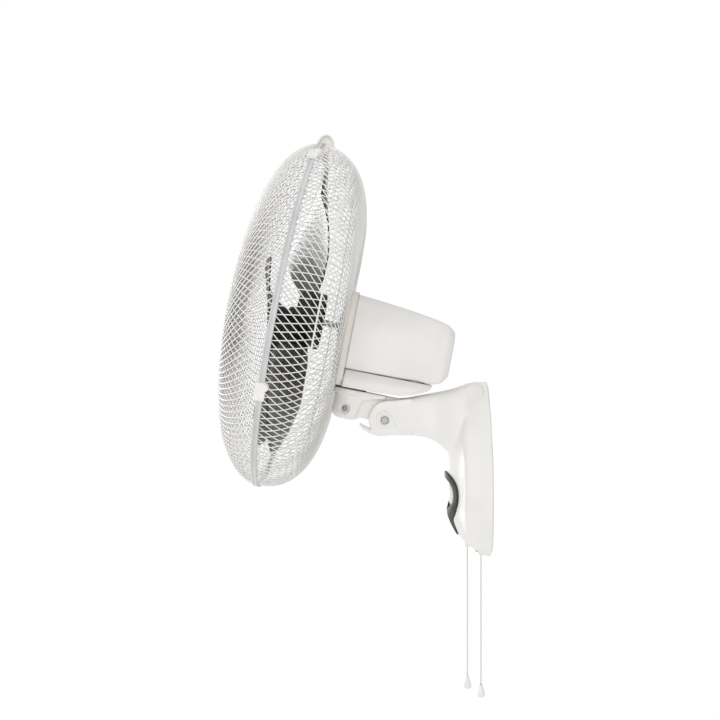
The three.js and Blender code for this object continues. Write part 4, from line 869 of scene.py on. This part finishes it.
    @staticmethod
    def nut():
        """A ring nut whose rim has twenty rounded lobes: radius plus a raised cosine of the angle."""
        low, high = 64.9, 69.3
        profile = rounded([(14.0, low), (20.6, low), (20.6, high), (14.0, high)], 0.8)
        points, faces = closed_lathe(profile, 240)
        angle = np.arctan2(points[..., 2], points[..., 0])
        swell = 1 + 0.018 * np.cos(20 * angle) * (np.hypot(points[..., 0], points[..., 2]) > 18)
        points[..., 0] *= swell
        points[..., 2] *= swell
        points[..., 1] += 63.3 - low
        return new_piece("guard_ring_nut", [(points, faces)], from_fan)


# ---- neck and wall bracket ----------------------------------------------------------------------------
def fused(name, parts, place, voxel, cutters, passes):
    """One moulded body: overlapping solids fused on a fine grid, cut, and smoothed so that edges are soft."""
    piece = new_piece(name, parts, place)
    remesh = piece.modifiers.new("fuse", "REMESH")
    remesh.mode = "VOXEL"
    remesh.voxel_size = voxel * MM
    bake_modifiers(piece)
    tools = []
    for number, (tool_parts, tool_place) in enumerate(cutters):
        tool = new_piece(f"{name}_tool_{number}", tool_parts, tool_place)
        tools.append(tool)
        cut = piece.modifiers.new("cut", "BOOLEAN")
        cut.operation = "DIFFERENCE"
        cut.object = tool
        cut.solver = "EXACT"
    ease = piece.modifiers.new("ease", "SMOOTH")
    ease.factor = 0.5
    ease.iterations = passes
    bake_modifiers(piece)
    for tool in tools:
        bpy.data.objects.remove(tool)
    piece.data.polygons.foreach_set("use_smooth", np.ones(len(piece.data.polygons), bool))
    return piece


def arc_points(centre, radius, start, end, steps):
    """Points of a circle's arc between two angles in degrees."""
    angle = np.radians(np.linspace(start, end, steps + 1))
    return np.column_stack([centre[0] + radius * np.cos(angle), centre[1] + radius * np.sin(angle)])


class WALLFAN_OT_neck(Operator):
    """Neck knuckle: a round barrel with its collar, the cap plate and the tongue, moulded as one"""
    bl_idname = "wallfan.neck"
    bl_label = "Neck"

    def execute(self, context):
        hinge = HINGE_IN_HEAD
        top, ledge = -79.4, -83.4
        barrel = [(0, -119), (9, -119), (13.5, -118), (16.8, -115.8), (18.5, -113), (19, -110),
                  (19, top - 2), (0, top - 2)]
        collar = rounded([(0, top - 6.5), (23, top - 6.5), (23, top), (0, top)], 0.8)
        web = np.vstack([[(0, top - 0.1), (47, top - 0.1), (46.6, ledge), (28, ledge - 4)],
                         arc_points(hinge, 37, 150, 172, 6), [(9, -117), (0, -117)]])
        tongue = np.vstack([[(0, top - 0.2), (65, top - 0.2), (67, top - 6)],
                            arc_points(hinge, 17, 15, -110, 20), [(30, -114), (0, -113)]])
        parts = [lathe(barrel, 128, "z"), lathe(collar, 128, "z"), prism(web, -19, 19),
                 prism(tongue, -10.6, 10.6)]
        recess, _ = lathe([(0, 15.5), (7, 15.5), (7, 30), (0, 30)], 64, "x")
        faces = sheet_faces(64, 4, wrap_rows=True)
        bore = lathe([(0, -113), (9.8, -113), (9.8, -70), (0, -70)], 96, "z")
        bolt, bolt_faces = lathe([(0, -30), (BOLT_HOLE, -30), (BOLT_HOLE, 30), (0, 30)], 48, "x")
        cutters = [([(recess.reshape(-1, 3) + CLAMP_SCREW, faces)], from_head), ([bore], from_head),
                   ([(bolt.reshape(-1, 3) + [0, *hinge], bolt_faces)], from_head)]
        piece = fused("moulded_neck", parts, from_head, 0.7, cutters, 4)
        finish_piece(piece, "white_plastic", "neck_body", ["neck"])
        return {"FINISHED"}


BOX_SECTIONS = [[-112, 34, 6, 10, 1.5], [-104, 45, 17, 24.5, 1.8], [-93, 52, 27, 36, 2.6],
                [-83.5, 54.5, 32, 41.5, 3.6], [-70.8, 56.5, 35, 48, 4.6], [-50, 57.5, 37, 51.5, 5.2],
                [-20, 58, 37, 53, 5], [8, 55.5, 37, 54.5, 3], [25, 50.5, 36, 57, 1.8], [64, 38, 33, 42, 1.5],
                [91, 23, 28, 34, 1.5], [104, 13, 23, 27, 1.5], [111, 6, 15, 18, 1.5]]
ARM_SECTIONS = [[8, 12, 107, 24], [22, 12, 109.5, 30], [30, 12, 106.5, 33], [45, 18, 101.5, 32],
                [58, 25, 98.6, 28], [67.5, 32.5, 96.8, 24.5], [83, 38.5, 94, 22], [102, 41.4, 90.4, 22],
                [118, 42.6, 87.6, 22]]
EAR_OUTLINE = [(-100, 42), (-121, 42.3), (-144, 41), (-155, 44), (-164, 49), (-170.6, 57), (-165, 54),
               (-155, 48.8), (-150, 47.5)]
EAR_TOP = [(-149.3, 80.7), (-141, 85.5), (-133.2, 86.9), (-126, 87.4), (-100, 90)]


def box_depth(x, height):
    """Depth of the wall box's front: side edge to nose as (1 - (x / half width) ** 2) ** pinch."""
    table = smooth_stations(BOX_SECTIONS, 400)
    half, edge, nose, pinch = (np.interp(height, table[:, 0], table[:, k]) for k in (1, 2, 3, 4))
    share = np.minimum(1.0, np.abs(x) / half)
    return edge + (nose - edge) * (1 - share ** 2) ** pinch


class WALLFAN_OT_bracket(Operator):
    """Wall box with its arm and ears as one moulding, the dark panel and the speed dial"""
    bl_idname = "wallfan.bracket"
    bl_label = "Wall bracket"

    def execute(self, context):
        finish_piece(self.shell(), "white_plastic", "wall_bracket", ["bracket_shell"])
        finish_piece(self.pads(), "white_plastic", "wall_bracket")
        finish_piece(self.panel(), "grey_plastic", "wall_bracket", ["control_bezel"])
        finish_piece(self.dial(), "white_plastic", "dial", ["speed_dial"])
        return {"FINISHED"}

    @staticmethod
    def box():
        """Sections at many heights: a flat back and a front that swells from both side edges to the nose."""
        table = smooth_stations(BOX_SECTIONS, 90)
        share = np.linspace(-1.0, 1.0, 41)
        rings = []
        for height, half, edge, nose, pinch in table:
            depth = edge + (nose - edge) * (1 - share ** 2) ** pinch
            inward = 4.5 * np.clip((np.abs(share) - 0.9) / 0.1, 0, 1) ** 2
            x = half * share
            front = np.column_stack([x, -(depth - inward), np.full_like(x, height)])
            rings.append(np.vstack([front, [half, -0.4, height], [-half, -0.4, height]]))
        grid = np.array(rings)
        count = grid.shape[1]
        faces = list(sheet_faces(len(grid), count, wrap_columns=True))
        return grid, faces + [np.arange(count)[::-1], np.arange(count) + (len(grid) - 1) * count]

    @staticmethod
    def arm():
        """Rounded rectangles from inside the box out to the ears."""
        table = smooth_stations(ARM_SECTIONS, 70)
        count = 72
        angle = np.linspace(0, 2 * np.pi, count, endpoint=False)
        c = np.sign(np.cos(angle)) * np.abs(np.cos(angle)) ** 0.4
        s = np.sign(np.sin(angle)) * np.abs(np.sin(angle)) ** 0.4
        rings = [np.column_stack([half * c, np.full(count, -away), (low + high) / 2 + (high - low) / 2 * s])
                 for away, low, high, half in table]
        faces = list(sheet_faces(len(rings), count, wrap_columns=True))
        return np.array(rings), faces + [np.arange(count)[::-1], np.arange(count) + (len(rings) - 1) * count]

    def shell(self):
        """Box, arm and ears fused, then cut by the neck's slot, the bolt's hole and the dial's seat."""
        hinge = (HINGE[1] / MM, HINGE[2] / MM)
        ear = np.vstack([EAR_OUTLINE, arc_points(hinge, 21, 222, 150, 14), EAR_TOP])
        parts = [self.box(), self.arm(), prism(ear, 12.2, 22), prism(ear, -22, -12.2)]
        slot, slot_faces = lathe([(0, -12.2), (36.5, -12.2), (36.5, 12.2), (0, 12.2)], 96, "x")
        bolt, bolt_faces = lathe([(0, -40), (BOLT_HOLE, -40), (BOLT_HOLE, 40), (0, 40)], 48, "x")
        room = lathe([(0, -40), (20.3, -40), (20.3, 0.3), (0, 0.3)], 96, "y")
        stem = lathe([(0, -5), (4.3, -5), (4.3, 12), (0, 12)], 48, "y")
        centre = [0, *hinge]
        cutters = [([(slot.reshape(-1, 3) + centre, slot_faces)], from_wall),
                   ([(bolt.reshape(-1, 3) + centre, bolt_faces)], from_wall),
                   ([room], from_dial), ([stem], from_dial)]
        return fused("moulded_wall_bracket", parts, from_wall, 1.25, cutters, 5)

    @staticmethod
    def pads():
        """Raised drop-shaped seats on both ears: a circle drawn out to one corner, with softened edges."""
        hinge = (HINGE[1] / MM, HINGE[2] / MM)
        drop = rounded(np.vstack([arc_points(hinge, 11.5, 52, 300, 20), [(-122.6, 51.8), (-120.6, 56.5)]]), 2)
        parts = [prism(drop, low, high) for low, high in ((21, 24.5), (-24.5, -21))]
        return soften_edges(new_piece("ear_pads", parts, from_wall), 0.8, 40.0)

    @staticmethod
    def panel():
        """Rings from the dial's seat out to a teardrop outline, laid on the box's front, with edges down."""
        centre_z, radius, tail = -36.0, 29.0, 55.0
        low = centre_z - tail + 9.0
        outline = np.vstack([arc_points((0, centre_z), radius, -35, 215, 80),
                             arc_points((0, low), 9, 200, 340, 24)])
        angle = np.arctan2(outline[:, 1] - centre_z, outline[:, 0])
        seat = np.column_stack([20.4 * np.cos(angle), centre_z + 20.4 * np.sin(angle)])
        rings = []
        for share, raised in ((0.0, 0.3), (0.0, 2.2), (0.06, 2.6), (0.3, 2.6), (0.6, 2.6), (0.9, 2.6),
                              (0.97, 2.2), (1.0, 1.5), (1.0, 0.3)):
            xz = seat * (1 - share) + outline * share
            depth = box_depth(xz[:, 0], xz[:, 1]) + raised
            rings.append(np.column_stack([xz[:, 0], -depth, xz[:, 1]]))
        grid = np.array(rings)
        faces = sheet_faces(len(grid), len(outline), wrap_rows=True, wrap_columns=True)
        return new_piece("dark_panel", [(grid, faces)], from_wall)

    @staticmethod
    def dial():
        """A shallow dome with a pointer groove, on a short spindle."""
        share = np.linspace(0.0, 1.0, 24)
        dome = np.column_stack([19.0 * np.sin(share * np.pi / 2), -9.0 * np.cos(share * np.pi / 2) ** 0.75])
        profile = np.vstack([dome, [(19.0, -0.3), (18.6, 0.0), (4.0, 0.0), (4.0, 3.3), (0.0, 3.3)]])
        points, faces = lathe(profile, 128)
        groove = (np.abs(points[..., 0]) < 0.8) & (points[..., 2] > 9.0) & (points[..., 2] < 17.0)
        points[..., 1] += np.where(groove & (points[..., 1] < -1.0), 0.5, 0.0)
        return new_piece("domed_speed_dial", [(points, faces)], from_dial)


# ---- fasteners and inner parts ------------------------------------------------------------------------
class WALLFAN_OT_fasteners(Operator):
    """Finishes for the construction nodes that stay, and softened copies of the screws and bolt"""
    bl_idname = "wallfan.fasteners"
    bl_label = "Fasteners and inner parts"

    def execute(self, context):
        slots = {part["node"]: part["material_slot"] for part in frame["record"]["subparts"]}
        mesh_material_pass(frame["nodes"], slots)
        finish_piece(self.hex_bolt(), "bright_steel", "wall_bracket", ["tilt_bolt"])
        finish_piece(self.shell_screw(), "zinc_steel", "wall_bracket", ["shell_screw"])
        finish_piece(self.clamp_screw(), "zinc_steel", "neck_body", ["neck_clamp_screw"])
        return {"FINISHED"}

    @staticmethod
    def hex_bolt():
        """A hexagon head with a turned chamfer, on its round shank."""
        hinge = [0.0, HINGE[1] / MM, HINGE[2] / MM]
        hexagon = arc_points((0, 0), 5.6, 20, 320, 5)
        cap = np.array([(24.8, 1.0), (28.0, 1.0), (28.8, 0.86)])
        rings = np.array([np.column_stack([np.full(6, x), hexagon * share]) for x, share in cap])
        faces = list(sheet_faces(3, 6, wrap_columns=True)) + [np.arange(6)[::-1], np.arange(6) + 12]
        shank, shank_faces = lathe([(0, -30.8), (3.4, -30.8), (3.8, -30.2), (3.8, 25.0), (0, 25.0)], 48, "x")
        parts = [(rings.reshape(-1, 3) + hinge, faces), (shank.reshape(-1, 3) + hinge, shank_faces)]
        piece = new_piece("hex_tilt_bolt", parts, from_wall, smooth=False)
        return soften_edges(piece, 0.35, 30.0)

    @staticmethod
    def shell_screw():
        """A low pan head under the wall box, on its shank."""
        profile = [(0, -113.6), (2.2, -113.5), (3.2, -112.9), (3.4, -112.2), (2.0, -112.2), (2.0, -95.0),
                   (0, -95.0)]
        points, faces = lathe(profile, 40, "z")
        return new_piece("low_pan_screw", [(points.reshape(-1, 3) + [0, -12, 0], faces)], from_wall)

    @staticmethod
    def clamp_screw():
        """A round cheese head at the bottom of the neck's pocket."""
        profile = [(0, 9.3), (2, 9.3), (2, 15.8), (3.4, 15.8), (3.4, 17.6), (2.9, 18.2), (0, 18.4)]
        points, faces = lathe(profile, 48, "x")
        return new_piece("neck_screw", [(points.reshape(-1, 3) + CLAMP_SCREW, faces)], from_head)


# ---- stage --------------------------------------------------------------------------------------------
class WALLFAN_OT_stage(Operator):
    """Camera at the photograph's place, pale floor and soft studio light"""
    bl_idname = "wallfan.stage"
    bl_label = "Stage"
    # Name, place, width and height in metres, and watts. The last two show in the glossy blades.
    LAMPS = (("key", (1.3, -1.2, 1.3), (1.2, 1.2), 2.5), ("fill", (1.9, -0.3, 0.3), (1.4, 1.4), 9.0),
             ("front", (0.3, -1.8, 0.5), (1.0, 1.2), 1.5), ("top", (0.0, -0.3, 1.6), (1.0, 1.0), 2.5),
             ("back", (-1.3, -0.95, 0.3), (0.9, 1.7), 13.0), ("side", (-0.75, -1.45, 0.3), (0.8, 1.5), 5.0))

    def execute(self, context):
        settings = context.scene.wallfan_stage
        scene = context.scene
        scene.view_settings.view_transform = "Standard"
        camera = bpy.data.objects.new("camera", bpy.data.cameras.new("camera"))
        camera.data.lens = settings.lens
        camera.data.sensor_width = 36.0
        camera.location = (settings.distance, -0.168, 0.140)
        camera.rotation_euler = (np.pi / 2, 0.0, np.pi / 2)
        scene.collection.objects.link(camera)
        scene.camera = camera
        self.floor(settings)
        self.sky(scene, settings)
        for name, place, size, power in self.LAMPS:
            self.lamp(scene, name, place, size, power)
        return {"FINISHED"}

    @staticmethod
    def floor(settings):
        """A pale floor well below the fan; from the photograph's place it ends just under the picture."""
        reach, level = 1.2, -0.9
        x, y = np.meshgrid([-reach, reach], [-reach, reach], indexing="ij")
        points = np.stack([x, y, np.full_like(x, level)], axis=-1)
        floor = new_piece("studio_floor", [(points, sheet_faces(2, 2))], np.asarray, smooth=False)
        material, _, shader, _ = start_material("matt_paper")
        shader.inputs["Base Color"].default_value = (*settings.paper, 1.0)
        shader.inputs["Roughness"].default_value = 0.9
        floor.data.materials.append(material)

    @staticmethod
    def sky(scene, settings):
        """An even white surround; what the camera sees directly is brighter than what lights the fan."""
        world = bpy.data.worlds.new("studio")
        world.use_nodes = True
        tree = world.node_tree
        light = add_node(tree, "ShaderNodeLightPath")
        strength = add_node(tree, "ShaderNodeMapRange", [(light.outputs["Is Camera Ray"], "Value")],
                            To_Min=0.62, To_Max=1.02)
        background = tree.nodes["Background"]
        background.inputs["Color"].default_value = (1.0, 1.0, 1.0, 1.0)
        tree.links.new(strength.outputs["Result"], background.inputs["Strength"])
        scene.world = world

    @staticmethod
    def lamp(scene, name, place, size, power):
        """A soft rectangle of light, turned towards the fan."""
        lamp = bpy.data.lights.new(name, "AREA")
        lamp.shape = "RECTANGLE"
        lamp.size, lamp.size_y = size
        lamp.energy = power
        holder = bpy.data.objects.new(name, lamp)
        holder.location = place
        holder.visible_camera = False
        target = np.array([0.0, -0.2, 0.15]) - np.array(place)
        holder.rotation_euler = Vector(target).to_track_quat("-Z", "Y").to_euler()
        scene.collection.objects.link(holder)


STEPS = ("stage", "cords", "guards", "rim", "impeller", "housing", "neck", "bracket", "fasteners")


class WALLFAN_PT_panel(Panel):
    """Lists the fan's builders"""
    bl_label = "Wall fan"
    bl_idname = "WALLFAN_PT_panel"
    bl_space_type = "VIEW_3D"
    bl_region_type = "UI"
    bl_category = "Wall fan"

    def draw(self, context):
        for setting in SETTINGS:
            group = getattr(context.scene, setting)
            for name in group.__annotations__:
                self.layout.prop(group, name)
        for step in STEPS:
            self.layout.operator(f"wallfan.{step}")


CLASSES = (WALLFAN_PG_guard, WALLFAN_PG_impeller, WALLFAN_PG_colours, WALLFAN_PG_stage, WALLFAN_OT_cords,
           WALLFAN_OT_guards, WALLFAN_OT_rim, WALLFAN_OT_impeller, WALLFAN_OT_housing, WALLFAN_OT_neck,
           WALLFAN_OT_bracket, WALLFAN_OT_fasteners, WALLFAN_OT_stage, WALLFAN_PT_panel)
SETTINGS = {"wallfan_guard": WALLFAN_PG_guard, "wallfan_impeller": WALLFAN_PG_impeller,
            "wallfan_colours": WALLFAN_PG_colours, "wallfan_stage": WALLFAN_PG_stage}


def register():
    for entry in CLASSES:
        bpy.utils.register_class(entry)
    for name, group in SETTINGS.items():
        setattr(bpy.types.Scene, name, PointerProperty(type=group))


def unregister():
    for name in SETTINGS:
        delattr(bpy.types.Scene, name)
    for entry in reversed(CLASSES):
        bpy.utils.unregister_class(entry)


def main():
    register()
    make_finishes(bpy.context.scene.wallfan_colours)
    for step in STEPS:
        getattr(bpy.ops.wallfan, step)()


if __name__ == "__main__":
    main()
